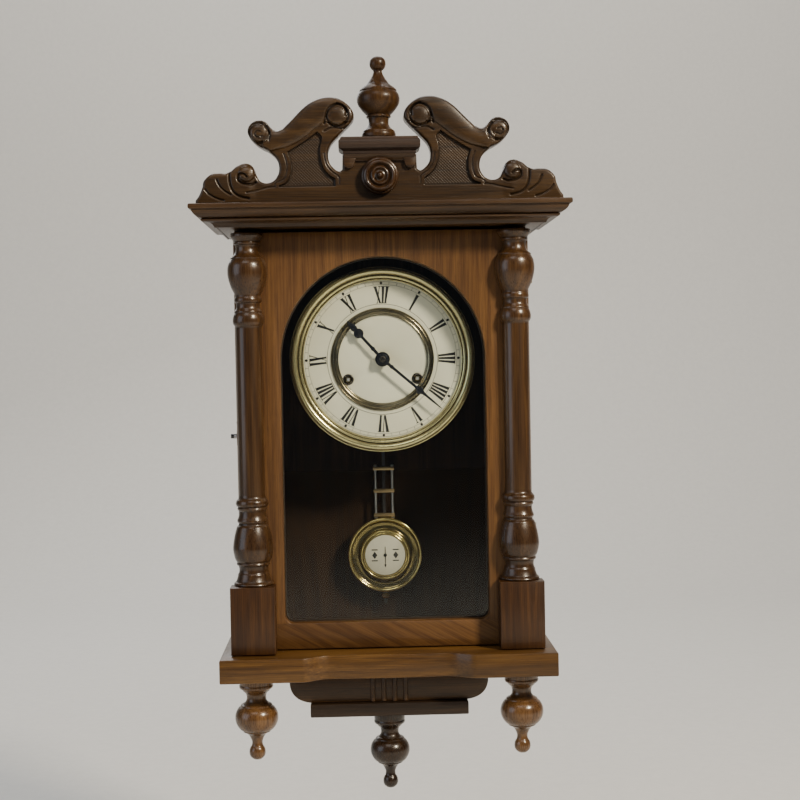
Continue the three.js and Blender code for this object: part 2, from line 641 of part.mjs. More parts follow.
/** A flat hand pointing up: a boss with a bore, a stem, a small disc or diamond, and a tip. */
function handShape({ boss, bore, knotAt, knotHalf, length }) {
    const shape = new THREE.Shape();
    const stem = 1.4;
    const start = Math.acos(stem / boss);
    shape.moveTo(stem, boss * Math.sin(start));
    shape.lineTo(stem * 0.9, knotAt - knotHalf);
    shape.quadraticCurveTo(knotHalf, knotAt - knotHalf, knotHalf, knotAt);
    shape.quadraticCurveTo(knotHalf * 0.6, knotAt + knotHalf, 1.5, knotAt + 1.6 * knotHalf);
    shape.lineTo(0, length);
    shape.lineTo(-1.5, knotAt + 1.6 * knotHalf);
    shape.quadraticCurveTo(-knotHalf * 0.6, knotAt + knotHalf, -knotHalf, knotAt);
    shape.quadraticCurveTo(-knotHalf, knotAt - knotHalf, -stem * 0.9, knotAt - knotHalf);
    shape.lineTo(-stem, boss * Math.sin(start));
    shape.absarc(0, 0, boss, Math.PI - start, 2 * Math.PI + start, false);
    shape.holes.push(new THREE.Path().absarc(0, 0, bore, 0, 2 * Math.PI, true));
    return shape;
}

function buildHands() {
    const turned = (geometry, degrees) => geometry.rotateY(THREE.MathUtils.degToRad(degrees));
    const hourFront = HOUR_HAND_DEPTH + HAND_THICKNESS;
    const minuteFront = MINUTE_HAND_DEPTH + HAND_THICKNESS;
    const hour = plate(handShape(HOUR_OUTLINE), HOUR_HAND_DEPTH, hourFront, 6);
    add("hour_hand", turned(hour, HOUR_ANGLE), blackSteel());
    const minute = plate(handShape(MINUTE_OUTLINE), MINUTE_HAND_DEPTH, minuteFront, 6);
    add("minute_hand", turned(minute, MINUTE_ANGLE), blackSteel());
    const nutBack = minuteFront + GAP;
    const bore = rod(0, 0, MINUTE_OUTLINE.bore, nutBack - 1, nutBack + 3);
    const nut = cut(rod(0, 0, 3, nutBack, nutBack + 2), bore);
    add("hand_nut", nut, brass());
}

// ---------------------------------------------------------------- the movement

function buildMovementFrame() {
    const half = PLATE_HALF_WIDTH;
    const backPlate = box(-half, half, BACK_PLATE, BACK_PLATE + PLATE_THICKNESS, PLATE_BOTTOM, PLATE_TOP);
    const pillars = PILLAR_ZS.flatMap((z) => [-PILLAR_X, PILLAR_X].map((x) => {
        return rod(x, z, 3.5, BACK_PLATE + 1, FRONT_PLATE - GAP, 10);
    }));
    const winding = Object.values(WINDING_SIDES);
    const windingHoles = winding.map((x) => [x, WINDING_Z, 2.4]);
    const rearHoles = [[0, PIVOT_Z, 2.2], [HAMMER_X, HAMMER_Z, 2.2], ...windingHoles];
    const rearEnd = BACK_PLATE + PLATE_THICKNESS + 1;
    const rearBores = rearHoles.map(([x, z, radius]) => rod(x, z, radius, BACK_PLATE - 1, rearEnd, 8));
    add("movement_back_plate", cut(join(backPlate, ...pillars), ...rearBores), brass());

    const front = FRONT_PLATE + PLATE_THICKNESS;
    const frontPlate = join(
        box(-half, half, FRONT_PLATE, front, PLATE_BOTTOM, PLATE_TOP),
        rod(0, MOTION_Z, 1.2, front - 0.5, HOUR_WHEEL_BACK + 2.3, 8),
    );
    const frontHoles = [[0, 0, 2.2], ...winding.map((x) => [x, WINDING_Z, 4.2])];
    const bores = frontHoles.map(([x, z, radius]) => rod(x, z, radius, FRONT_PLATE - 1, front + 1, 12));
    add("movement_front_plate", cut(frontPlate, ...bores), brass());

    const wallFace = BACK_THICKNESS + GAP;
    const rear = BACK_PLATE - GAP;
    const sheet = 1.5;
    const barHeight = 7;
    const bracket = [];
    for (const side of [-1, 1]) {
        const span = (a, b) => [Math.min(side * a, side * b), Math.max(side * a, side * b)];
        const arm = span(BRACKET_X, BRACKET_X + sheet);
        const foot = span(BRACKET_X, BRACKET_X + BRACKET_FOOT);
        bracket.push(box(...arm, wallFace, rear, BRACKET_BOTTOM, BRACKET_TOP));
        bracket.push(box(...foot, wallFace, wallFace + sheet, BRACKET_BOTTOM, BRACKET_TOP));
    }
    const reach = BRACKET_X + sheet / 2;
    bracket.push(box(-reach, reach, rear - sheet, rear, BRACKET_TOP - barHeight, BRACKET_TOP));
    bracket.push(box(-reach, reach, rear - sheet, rear, BRACKET_BOTTOM, BRACKET_BOTTOM + barHeight));
    add("movement_bracket", join(...bracket), steel());

    const cock = box(-6, 6, 16, BACK_PLATE - GAP, PIVOT_Z + 2.4, PIVOT_Z + 11);
    const slot = box(-10, 10, PENDULUM_DEPTH - 1, PENDULUM_DEPTH + 1, PIVOT_Z, PIVOT_Z + 6);
    add("suspension_post", cut(cock, slot), brass());
}

function buildMotionWork() {
    const end = CENTRE_ARBOR_END;
    const centre = join(
        rod(0, 0, 1.4, BACK_PLATE + PLATE_THICKNESS + GAP, end),
        gear(36, 16.5, 0, 0, 40, 41.5),
    );
    add("centre_wheel", centre, brass());

    const cannon = CANNON_BACK;
    const pipe = join(
        rod(0, 0, 3, cannon, MINUTE_HAND_DEPTH - GAP, 16),
        gear(12, 4.5, 0, 0, cannon, cannon + 2.5),
    );
    const cannonBore = rod(0, 0, MINUTE_OUTLINE.bore, cannon - 1, end, 12);
    add("cannon_pinion", cut(pipe, cannonBore), brass());

    const back = HOUR_WHEEL_BACK;
    const hourPipe = join(
        rod(0, 0, 4.6, back, HOUR_HAND_DEPTH + 1.4, 16),
        gear(40, 14.4, 0, 0, back, back + 1.2),
    );
    add("hour_wheel", cut(hourPipe, rod(0, 0, 3.4, back - 1, end, 16)), brass());

    const wheel = join(
        gear(36, 13.5, 0, MOTION_Z, cannon, cannon + 1.4),
        gear(10, 3.6, 0, MOTION_Z, cannon + 1, back + 1.7),
    );
    add("minute_wheel", cut(wheel, rod(0, MOTION_Z, 1.6, cannon - 1, back + 3, 8)), brass());
}

function buildEscapement() {
    const arborBack = BACK_PLATE + PLATE_THICKNESS + GAP;
    const arborFront = FRONT_PLATE - GAP;
    const escape = join(
        rod(0, ESCAPE_Z, 1.2, arborBack, arborFront, 8),
        gear(30, 12, 0, ESCAPE_Z, ESCAPE_BACK, ESCAPE_BACK + 1.5),
    );
    add("escape_wheel", escape, brass());

    const span = THREE.MathUtils.degToRad(48);
    const crescent = new THREE.Shape();
    crescent.absarc(0, ESCAPE_Z, 16.6, Math.PI / 2 - span, Math.PI / 2 + span, false);
    crescent.absarc(0, ESCAPE_Z, 13.6, Math.PI / 2 + span, Math.PI / 2 - span, true);
    crescent.closePath();
    const crutchBack = 29;
    const anchor = join(
        rod(0, PIVOT_Z, 1.5, crutchBack, arborFront, 8),
        plate(crescent, ESCAPE_BACK, ESCAPE_BACK + 1.6, 8),
        box(-2, 2, crutchBack, crutchBack + 1.2, -14, PIVOT_Z),
        rod(0, -12, 0.9, PENDULUM_DEPTH - 3, crutchBack + 0.5, 8),
    );
    add("anchor", anchor, steel());
}

/** A mainspring barrel with its winding arbor, whose square end comes through the dial. */
function buildBarrels() {
    for (const [train, x] of Object.entries(WINDING_SIDES)) {
        const square = new THREE.BoxGeometry(3.4, 20, 3.4).translate(x, -76, WINDING_Z);
        const barrel = join(
            rod(x, WINDING_Z, BARREL_RADIUS, 46, 62, 20),
            gear(40, BARREL_RADIUS + 2, x, WINDING_Z, 60.5, 62.5),
            rod(x, WINDING_Z, 2, BACK_PLATE, 70, 12),
            square,
        );
        add(`barrel_${train}`, barrel, brass());
    }
}

function buildGong() {
    const outer = GONG_RADIUS;
    const turns = 1.75;
    const pitch = 9; // how much nearer the centre each turn ends
    const steps = 36;
    const points = [];
    for (let step = 0; step <= steps; step += 1) {
        const angle = -Math.PI / 2 + (step / steps) * turns * 2 * Math.PI;
        const radius = outer - (pitch * turns * step) / steps;
        const height = GONG_Z + radius * Math.sin(angle);
        points.push(new THREE.Vector3(radius * Math.cos(angle), -GONG_DEPTH, height));
    }
    const section = new THREE.Shape().absarc(0, 0, 1.4, 0, 2 * Math.PI, false);
    const path = new THREE.CatmullRomCurve3(points);
    const settings = { steps, extrudePath: path, curveSegments: 3, bevelEnabled: false };
    const coil = new THREE.ExtrudeGeometry(section, settings);
    add("gong_coil", volumeOf(coil) < 0 ? flipped(coil) : coil, blackSteel());
    const end = GONG_Z - outer; // the coil starts at its lowest point
    const seat = box(-9, GAP, GONG_DEPTH - 2, GONG_DEPTH + 2, end - 2, end + 2);
    const block = box(-16, -GAP, BACK_THICKNESS + GAP, GONG_DEPTH + 4, end - 9, end + 5);
    add("gong_block", cut(block, seat), blackSteel());

    const armBack = 28;
    const armFront = armBack + 1.2;
    const arm = join(
        rod(HAMMER_X, HAMMER_Z, 1.5, armBack, FRONT_PLATE - GAP, 8),
        box(HAMMER_X - 1.2, HAMMER_X + 1.2, armBack, armFront, GONG_Z - 2, HAMMER_Z),
        rod(HAMMER_X, GONG_Z, 4, GONG_DEPTH - 3, armFront, 12),
    );
    add("strike_hammer", arm, steel());
}

// ---------------------------------------------------------------- the pendulum

function buildPendulum() {
    const depth = PENDULUM_DEPTH;
    const springBottom = PIVOT_Z - 9;
    add("suspension_spring", box(-4, 4, depth - 0.3, depth + 0.3, springBottom, PIVOT_Z + 4.6), steel());

    const rodTop = springBottom - GAP;
    const rodBottom = BOB_Z - BOB_RADIUS - 12;
    const rodHalf = 1.5;
    const shape = polygon([
        [-rodHalf, rodBottom], [rodHalf, rodBottom], [rodHalf, -20], [4, -18], [4, -6], [rodHalf, -4],
        [4, rodTop - 6], [4, rodTop], [-4, rodTop], [-4, rodTop - 6], [-rodHalf, -4], [-4, -6], [-4, -18],
        [-rodHalf, -20],
    ]);
    const crutchSlot = [[-1.5, -16], [-1.5, -8], [1.5, -8], [1.5, -16]];
    const slot = new THREE.Path(crutchSlot.map((corner) => new THREE.Vector2(...corner)));
    shape.holes.push(slot);
    add("pendulum_rod", plate(shape, depth - 0.8, depth + 0.8), steel());

    const half = GRID_BAR_HALF;
    const bars = GRID_BAR_ZS.map((z) => box(-half, half, depth - 2.2, depth + 2.2, z - 1.8, z + 1.8));
    const rods = [-GRID_ROD_X, GRID_ROD_X].map((x) => post(x, depth, 1.3, -157, -106, 8));
    const channel = box(-1.8, 1.8, depth - 1.1, depth + 1.1, -170, -100);
    add("pendulum_grid", cut(join(bars[0], ...bars.slice(1), ...rods), channel), brass());

    const back = depth + 1.1;
    const radius = BOB_RADIUS;
    const floor = back + BOB_FACE_RISE;
    const dish = [
        [0, floor], [BOB_FACE_RADIUS + 0.2, floor], [21, floor + 1.8], [24.6, floor + 0.8], [26, floor - 1.6],
        [30, floor - 2.2], [radius - 3, floor - 0.8], [radius - 1.2, floor + 0.4], [radius, back + 4.6],
        [radius - 0.8, back], [0, back],
    ];
    add("bob_shell", dishing(dish, 0, BOB_Z, 28), brass());
    const face = floor + GAP;
    add("bob_face", rod(0, BOB_Z, BOB_FACE_RADIUS, face, face + 1, 28), dialWhite());
    const nutTop = BOB_Z - BOB_RADIUS - 1.5;
    const nut = post(0, depth, 4, nutTop - 5, nutTop, 16);
    const nutBore = box(-1.8, 1.8, depth - 1.1, depth + 1.1, nutTop - 9, nutTop + 1);
    add("rating_nut", cut(nut, nutBore), brass());
}

buildCarcase();
buildCornice();
buildCrest();
buildApron();
buildDoor();
buildHinges();
buildHook();
buildDial();
buildHands();
buildMovementFrame();
buildMotionWork();
buildEscapement();
buildBarrels();
buildGong();
buildPendulum();

export default clock;
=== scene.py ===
"""Looks for the pendulum wall clock: carved and turned wood, brass, dial, glass, light and camera.

Lengths in this script are millimetres in the clock's own frame (X right, Z up, "depth" measured from the
wall towards the viewer, so y = -depth) and are turned into metres when a mesh is made. The stage, the
lights and the camera are in metres.
"""

import math

import bmesh
import bpy
import numpy as np
from mathutils import Matrix, Vector, geometry


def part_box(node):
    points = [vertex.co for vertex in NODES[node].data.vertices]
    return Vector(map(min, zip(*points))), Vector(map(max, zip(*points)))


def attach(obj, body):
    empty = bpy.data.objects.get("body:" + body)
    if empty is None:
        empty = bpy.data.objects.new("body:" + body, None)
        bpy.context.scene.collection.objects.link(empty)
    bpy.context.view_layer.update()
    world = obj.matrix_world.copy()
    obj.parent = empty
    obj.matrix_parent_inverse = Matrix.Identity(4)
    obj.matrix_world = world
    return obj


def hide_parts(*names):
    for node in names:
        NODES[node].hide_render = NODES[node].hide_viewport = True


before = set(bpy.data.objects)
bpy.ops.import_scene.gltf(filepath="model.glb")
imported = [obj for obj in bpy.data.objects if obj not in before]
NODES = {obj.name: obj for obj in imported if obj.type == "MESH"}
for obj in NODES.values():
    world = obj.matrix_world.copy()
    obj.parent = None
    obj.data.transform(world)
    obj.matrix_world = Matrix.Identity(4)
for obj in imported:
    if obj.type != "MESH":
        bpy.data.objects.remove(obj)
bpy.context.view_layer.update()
MM = 0.001


def limits(node):
    """A node's box in millimetres: left, right, back depth, front depth, bottom, top."""
    low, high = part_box(node)
    return [v / MM for v in (low.x, high.x, -high.y, -low.y, low.z, high.z)]


# ------------------------------------------------------------------ materials

class Tree:
    """Builds a material's nodes with short calls."""

    def __init__(self, name):
        self.material = bpy.data.materials.new(name)
        self.material.use_nodes = True
        self.nodes = self.material.node_tree.nodes
        self.links = self.material.node_tree.links
        self.shader = self.nodes["Principled BSDF"]

    def add(self, kind, inputs=None, **settings):
        node = self.nodes.new(kind)
        for key, value in settings.items():
            setattr(node, key, value)
        for key, value in (inputs or {}).items():
            self.feed(node, key, value)
        return node

    def feed(self, node, key, value):
        if isinstance(value, bpy.types.NodeSocket):
            self.links.new(value, node.inputs[key])
        else:
            node.inputs[key].default_value = value

    def math(self, operation, a, b=0.0, clamp=False):
        node = self.add("ShaderNodeMath", {0: a, 1: b}, operation=operation, use_clamp=clamp)
        return node.outputs[0]

    def mix(self, factor, a, b, blend="MIX"):
        node = self.add("ShaderNodeMix", data_type="RGBA", blend_type=blend)
        self.feed(node, 0, factor)
        self.feed(node, 6, a)
        self.feed(node, 7, b)
        return node.outputs[2]

    def span(self, value, low, high, to_low=0.0, to_high=1.0):
        """Maps the range low to high onto another range."""
        inputs = {0: value, 1: low, 2: high, 3: to_low, 4: to_high}
        return self.add("ShaderNodeMapRange", inputs).outputs[0]

    def noise(self, vector, scale, detail=3.0, rough=0.5, distortion=0.0):
        inputs = {"Vector": vector, "Scale": scale, "Detail": detail, "Roughness": rough,
                  "Distortion": distortion}
        return self.add("ShaderNodeTexNoise", inputs).outputs[0]

    def place(self, stretch, turn=(0, 0, 0), shift=(0, 0, 0)):
        """The object's own coordinates, turned and shifted, then stretched."""
        coordinates = self.add("ShaderNodeTexCoord").outputs["Object"]
        turned = self.add("ShaderNodeMapping", {"Vector": coordinates, "Rotation": turn, "Location": shift})
        return self.add("ShaderNodeMapping", {"Vector": turned.outputs[0], "Scale": stretch}).outputs[0]

    def recess_shade(self):
        """How deep in a recess a point lies, as its piece says: the amount of painted shade there."""
        return self.add("ShaderNodeAttribute", attribute_name="recess_shade").outputs["Fac"]

    def bump(self, height, distance, strength=1.0):
        inputs = {"Height": height, "Distance": distance, "Strength": strength}
        self.feed(self.shader, "Normal", self.add("ShaderNodeBump", inputs).outputs[0])

    def set(self, **values):
        for key, value in values.items():
            self.feed(self.shader, key.replace("_", " "), value)
        return self.material


def rgb(r, g, b):
    """A linear colour with full alpha."""
    return (r, g, b, 1.0)


GRAIN_TURN = {"z": (0, 0, 0), "x": (0, math.radians(90), 0), "slant": (0, math.radians(62), 0)}
# the light, middle and dark tones of each wood
TONES = {
    "walnut": ((0.082, 0.04, 0.0115), (0.047, 0.0215, 0.0058), (0.018, 0.008, 0.0024)),
    "crest": ((0.068, 0.035, 0.0098), (0.038, 0.0185, 0.0046), (0.0135, 0.0064, 0.002)),
    "ledge": ((0.034, 0.0175, 0.0075), (0.0195, 0.01, 0.0042), (0.008, 0.004, 0.0018)),
    "turned": ((0.1, 0.05, 0.015), (0.054, 0.0245, 0.0072), (0.02, 0.0085, 0.003)),
    "drop": ((0.19, 0.098, 0.033), (0.108, 0.052, 0.017), (0.043, 0.019, 0.0065)),
    "veneer": ((0.165, 0.079, 0.021), (0.112, 0.05, 0.0128), (0.053, 0.0215, 0.006)),
    "shelf": ((0.158, 0.078, 0.0158), (0.094, 0.0428, 0.008), (0.04, 0.0172, 0.0038)),
    "block": ((0.07, 0.0285, 0.0062), (0.042, 0.016, 0.0036), (0.02, 0.0075, 0.002)),
    # the centre drop: a darker copy of the turned wood, painted shade for where it hangs in the shelf's
    # shadow
    "centre": ((0.036, 0.0175, 0.0062), (0.02, 0.0095, 0.0032), (0.008, 0.0036, 0.0014)),
    "boss": ((0.062, 0.028, 0.009), (0.034, 0.015, 0.0046), (0.013, 0.0055, 0.002)),
    "dark": ((0.06, 0.034, 0.021), (0.036, 0.02, 0.0125), (0.016, 0.009, 0.006)),
    "board": ((0.036, 0.017, 0.007), (0.023, 0.0105, 0.0042), (0.009, 0.0045, 0.002)),
}


def wood(name, tones, grain, gloss, coat, seed, pores=1.0, figure=1.0, across=1.0, shine=0.35):
    """Lacquered wood: grain figure, pores, tone changes, painted shade in recesses. Across stretches the
    depth axis.
    """
    tree = Tree(name)
    light, middle, dark = [rgb(*tone) for tone in TONES[tones]]
    turn = GRAIN_TURN[grain]
    shift = (seed, seed * 0.7, seed * 1.3)
    # about how many marks each pattern has in a metre: across the grain, in depth and along the grain
    wide = tree.place((34, 34 * across, 2.2), turn, shift)
    fine = tree.place((1150, 1150 * across, 20), turn, shift)
    pore = tree.place((2100, 2100 * across, 66), turn, shift)
    field = tree.noise(wide, 1.0, 3.0, 0.45, 0.4)
    rings = tree.math("SINE", tree.math("MULTIPLY", field, 46.0 * figure))
    rings = tree.span(rings, -1.0, 1.0)
    streaks = tree.noise(fine, 1.0, 4.0, 0.6)
    tone = tree.math("ADD", tree.math("MULTIPLY", rings, 0.2), tree.math("MULTIPLY", streaks, 1.0))
    ramp = tree.add("ShaderNodeValToRGB", {0: tree.span(tone, 0.3, 0.9)})
    ramp.color_ramp.elements[0].color = dark
    ramp.color_ramp.elements[1].color = light
    ramp.color_ramp.elements.new(0.5).color = middle
    holes = tree.span(tree.noise(pore, 1.0, 2.0, 0.5), 0.56, 0.68)
    colour = tree.mix(tree.math("MULTIPLY", holes, 0.55 * pores), ramp.outputs[0], dark)
    patches = tree.noise(tree.place((9, 9, 5), turn, shift), 1.0, 2.0)
    colour = tree.mix(tree.span(patches, 0.35, 0.7, 0.0, 0.35), colour, dark, "MULTIPLY")
    # painted shade: the colour runs to a near-black brown where the piece marks a recess
    recess = tree.math("MULTIPLY", tree.recess_shade(), 0.85, clamp=True)
    deep = tuple(c * 0.3 for c in dark[:3]) + (1.0,)
    colour = tree.mix(recess, colour, deep)
    relief = tree.math("SUBTRACT", tree.math("MULTIPLY", streaks, 0.5), tree.math("MULTIPLY", holes, pores))
    tree.bump(relief, 0.0001, 0.4)
    rough = tree.math("ADD", tree.math("MULTIPLY", streaks, 0.16), gloss - 0.06)
    rough = tree.math("ADD", rough, tree.math("MULTIPLY", recess, 0.3), clamp=True)
    return tree.set(Base_Color=colour, Roughness=rough, Coat_Weight=coat, Coat_Roughness=0.16,
                    Specular_IOR_Level=shine)


def brass(name, colour, rough=0.2, tarnish=0.3, metallic=1.0):
    """Polished and lacquered brass with faint scratches, haze and tarnish, and painted shade in the
    recesses.
    """
    tree = Tree(name)
    haze = tree.noise(tree.place((60, 60, 60)), 1.0, 4.0, 0.6)
    specks = tree.noise(tree.place((900, 900, 900)), 1.0, 2.0)
    warm = rgb(*colour)
    dull = rgb(*[c * 0.62 for c in colour])
    base = tree.mix(tree.span(haze, 0.38, 0.72, 0.0, tarnish), warm, dull)
    # painted shade: a dark brown where the piece marks a recess
    base = tree.mix(tree.recess_shade(), base, rgb(0.05, 0.034, 0.014))
    roughness = tree.span(haze, 0.3, 0.75, rough - 0.04, rough + 0.09)
    tree.bump(specks, 0.00002, 0.5)
    return tree.set(Base_Color=base, Metallic=metallic, Roughness=roughness)


def metal(name, colour, rough, metallic=1.0, coat=0.0):
    """Drawn or filed metal: a light haze and fine scratches along one axis."""
    tree = Tree(name)
    haze = tree.noise(tree.place((220, 220, 220)), 1.0, 4.0, 0.6)
    scratch = tree.noise(tree.place((1500, 1500, 90)), 1.0, 2.0)
    base = tree.mix(tree.span(haze, 0.35, 0.7), rgb(*colour), rgb(*[c * 0.72 for c in colour]))
    roughness = tree.span(tree.math("ADD", haze, scratch), 0.7, 1.3, rough - 0.06, rough + 0.14)
    tree.bump(scratch, 0.00003, 0.4)
    return tree.set(Base_Color=base, Metallic=metallic, Roughness=roughness, Coat_Weight=coat)


def paint(name, colour, shade, rough):
    """Printed or enamelled paint: slightly mottled, with fine orange peel."""
    tree = Tree(name)
    cloud = tree.noise(tree.place((26, 26, 26)), 1.0, 4.0, 0.6)
    peel = tree.noise(tree.place((1600, 1600, 1600)), 1.0, 2.0)
    base = tree.mix(tree.span(cloud, 0.3, 0.72), rgb(*colour), rgb(*shade))
    tree.bump(peel, 0.00002, 0.5)
    return tree.set(Base_Color=base, Roughness=tree.span(cloud, 0.3, 0.7, rough - 0.05, rough + 0.08))


def clear_glass(name):
    """Thin glass that lets light straight through and mirrors more towards its grazing edges."""
    tree = Tree(name)
    smear = tree.noise(tree.place((14, 14, 22)), 1.0, 5.0, 0.6)
    veil = tree.add("ShaderNodeBsdfTransparent", {"Color": rgb(0.96, 0.985, 0.975)})
    gloss = tree.add("ShaderNodeBsdfGlossy", {"Color": rgb(0.95, 0.97, 1.0)})
    tree.feed(gloss, "Roughness", tree.span(smear, 0.4, 0.8, 0.0, 0.02))
    facing = tree.add("ShaderNodeLayerWeight", {"Blend": 0.5}).outputs["Facing"]
    edge = tree.math("ADD", tree.math("MULTIPLY", tree.math("POWER", facing, 5.0), 0.9), 0.022)
    mixed = tree.add("ShaderNodeMixShader", {0: edge, 1: veil.outputs[0], 2: gloss.outputs[0]})
    tree.links.new(mixed.outputs[0], tree.nodes["Material Output"].inputs["Surface"])
    tree.nodes.remove(tree.shader)
    return tree.material


walnut_across = wood("walnut_across", "walnut", "x", 0.42, 0.12, 1.3)
walnut_relief = wood("walnut_carved", "crest", "x", 0.36, 0.3, 4.1, figure=0.7)
apron_wood = wood("apron_wood", "walnut", "x", 0.42, 0.1, 2.9)
finial_wood = wood("finial_wood", "turned", "z", 0.34, 0.1, 2.2, 0.6, shine=0.22)
drop_wood = wood("drop_wood", "drop", "z", 0.26, 0.4, 3.2, 0.6)
column_wood = wood("column_wood", "turned", "z", 0.27, 0.3, 7.7, 0.6)
veneer_up = wood("veneer_upright", "veneer", "z", 0.44, 0.08, 3.4)
veneer_slant = wood("veneer_slanting", "veneer", "slant", 0.44, 0.08, 6.4)
veneer_across = wood("veneer_across", "shelf", "x", 0.38, 0.15, 5.2, across=0.4)
block_wood = wood("block_wood", "block", "z", 0.4, 0.12, 6.1)
dark_wood = wood("dark_wood", "dark", "x", 0.45, 0.08, 8.8)
ledge_wood = wood("ledge_wood", "ledge", "x", 0.42, 0.08, 1.9)
# painted shade: the centre drop gets the darker copy of the turned wood
shaded_drop_wood = wood("centre_drop_wood_shaded", "centre", "z", 0.26, 0.3, 8.1, 0.6)
boss_wood = wood("boss_wood", "boss", "z", 0.28, 0.35, 4.6, 0.6)
back_wood = wood("back_board_wood", "board", "z", 0.7, 0.0, 9.5, 0.3, shine=0.12)
polished_brass = brass("polished_brass", (0.76, 0.56, 0.24))
dull_brass = brass("movement_brass", (0.62, 0.47, 0.22), 0.34)
aged_brass = brass("aged_brass", (0.34, 0.25, 0.14), 0.34)
bezel_brass = brass("bezel_brass", (0.66, 0.575, 0.31), 0.17, 0.2, 0.84)
ring_brass = brass("inner_ring_bronze", (0.19, 0.16, 0.105), 0.2, 0.1)
bob_brass = brass("bob_brass", (0.6, 0.48, 0.2), 0.14, 0.15, 0.92)
steel = metal("steel", (0.5, 0.5, 0.52), 0.32)
bright_steel = metal("bright_steel", (0.62, 0.63, 0.66), 0.3, 0.8)
dark_steel = metal("dark_steel", (0.06, 0.055, 0.055), 0.4)
gun_metal = metal("gun_metal", (0.09, 0.08, 0.075), 0.3)
spring_steel = metal("blued_steel", (0.16, 0.17, 0.2), 0.3)
black_steel = metal("black_lacquered_steel", (0.012, 0.013, 0.02), 0.28, 0.35, 0.4)
dial_cream = paint("dial_cream", (0.74, 0.7, 0.575), (0.69, 0.64, 0.505), 0.4)
dial_black = paint("dial_black", (0.008, 0.008, 0.01), (0.014, 0.013, 0.014), 0.4)
bob_white = paint("bob_white", (0.6, 0.565, 0.48), (0.52, 0.48, 0.39), 0.3)
bob_black = paint("bob_black", (0.01, 0.009, 0.01), (0.02, 0.018, 0.018), 0.35)
glass = clear_glass("door_glass_clear")

# ------------------------------------------------------------------ mesh helpers

SHARP_ANGLE = 32.0


def soften(mesh, crease=SHARP_ANGLE):
    """Shades a mesh smoothly, apart from edges that turn by more than the crease angle in degrees."""
    mesh.polygons.foreach_set("use_smooth", [True] * len(mesh.polygons))
    mesh.set_sharp_from_angle(angle=math.radians(crease))


def piece(name, points, faces, material, body, replaces=(), recess_shade=None, crease=SHARP_ANGLE):
    """Makes one visible piece from points in [x, depth, z] millimetres."""
    mesh = bpy.data.meshes.new(name)
    metres = [(x * MM, -depth * MM, z * MM) for x, depth, z in points]
    mesh.from_pydata(metres, [], [list(face) for face in faces])
    mesh.validate()
    # per-point amounts of painted shade for recesses, kept as an attribute for the materials
    if recess_shade is not None:
        values = mesh.attributes.new("recess_shade", "FLOAT", "POINT")
        values.data.foreach_set("value", np.asarray(recess_shade, np.float32))
    piece_object = bpy.data.objects.new(name, mesh)
    bpy.context.scene.collection.objects.link(piece_object)
    outward(mesh)
    soften(mesh, crease)
    mesh.materials.append(material)
    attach(piece_object, body)
    if replaces:
        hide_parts(*replaces)
    return piece_object


def outward(mesh):
    """Turns the faces of every closed part of a mesh outwards."""
    work = bmesh.new()
    work.from_mesh(mesh)
    bmesh.ops.recalc_face_normals(work, faces=work.faces)
    work.to_mesh(mesh)
    work.free()


def bridge(first, second, count):
    """Quads between two closed rings of points, each given by the index of its first point."""
    after = [(k + 1) % count for k in range(count)]
    return [(first + k, first + after[k], second + after[k], second + k) for k in range(count)]


def walls(base, rows, count):
    """Quads up a stack of closed rings whose points follow one another from index base."""
    return [face for row in range(rows - 1)
            for face in bridge(base + row * count, base + (row + 1) * count, count)]


def spline_runs(profile, step=1.0):
    """A dense polyline through (a, b) points, smooth between corners. A corner has a third value."""
    runs = []
    current = []
    for point in profile:
        current.append(point[:2])
        if len(point) > 2 and len(current) > 1:
            runs.append(current)
            current = [point[:2]]
    if len(current) > 1:
        runs.append(current)
    line = [runs[0][0]]
    for run in runs:
        if len(run) == 2:
            line.append(run[1])
            continue
        padded = [2 * np.array(run[0]) - np.array(run[1]), *map(np.array, run)]
        padded.append(2 * np.array(run[-1]) - np.array(run[-2]))
        for i in range(1, len(padded) - 2):
            p0, p1, p2, p3 = padded[i - 1:i + 3]
            count = max(2, int(np.linalg.norm(p2 - p1) / step) + 1)
            for k in range(1, count + 1):
                t = k / count
                spot = 0.5 * (2 * p1 + (p2 - p0) * t + (2 * p0 - 5 * p1 + 4 * p2 - p3) * t * t
                              + (3 * p1 - p0 - 3 * p2 + p3) * t ** 3)
                line.append(tuple(spot))
    return line


def profile_cavity(line, reach=3.2, depth=1.6):
    """How far each point of a turned profile lies below its neighbours, 0 to 1, used as the amount of
    painted shade.
    """
    points = np.array(line)
    along = np.concatenate([[0], np.cumsum(np.linalg.norm(np.diff(points, axis=0), axis=1))])
    result = []
    for i, (radius, _) in enumerate(points):
        near = points[np.abs(along - along[i]) < reach][:, 0]
        result.append(min(1.0, max(0.0, (near.mean() - radius) / depth)))
    return result


def turning(name, profile, x, depth, material, body, replaces, flat_behind=None, sides=64, drop=0.0):
    """A turned piece about a vertical axis, with its back planed flat behind a depth if that is given."""
    line = [(radius, z + drop) for radius, z in spline_runs(profile)]
    points, recess_shade = [], []
    for (radius, z), dark in zip(line, profile_cavity(line)):
        reach = math.pi
        if flat_behind is not None and radius > 1e-6:
            reach = math.acos(max(-1.0, min(1.0, -(depth - flat_behind) / radius)))
        for k in range(sides):
            angle = -reach + 2 * reach * k / (sides - 1 if flat_behind is not None else sides)
            points.append((x + radius * math.sin(angle), depth + radius * math.cos(angle), z))
            recess_shade.append(dark)
    return weld(piece(name, points, walls(0, len(line), sides), material, body, replaces, recess_shade))


def weld(obj, distance=0.00001):
    """Merges the points that meet on an axis, and drops the flat faces that leaves."""
    work = bmesh.new()
    work.from_mesh(obj.data)
    bmesh.ops.remove_doubles(work, verts=work.verts, dist=distance)
    bmesh.ops.dissolve_degenerate(work, edges=work.edges, dist=distance)
    bmesh.ops.recalc_face_normals(work, faces=work.faces)
    work.to_mesh(obj.data)
    work.free()
    soften(obj.data)
    return obj


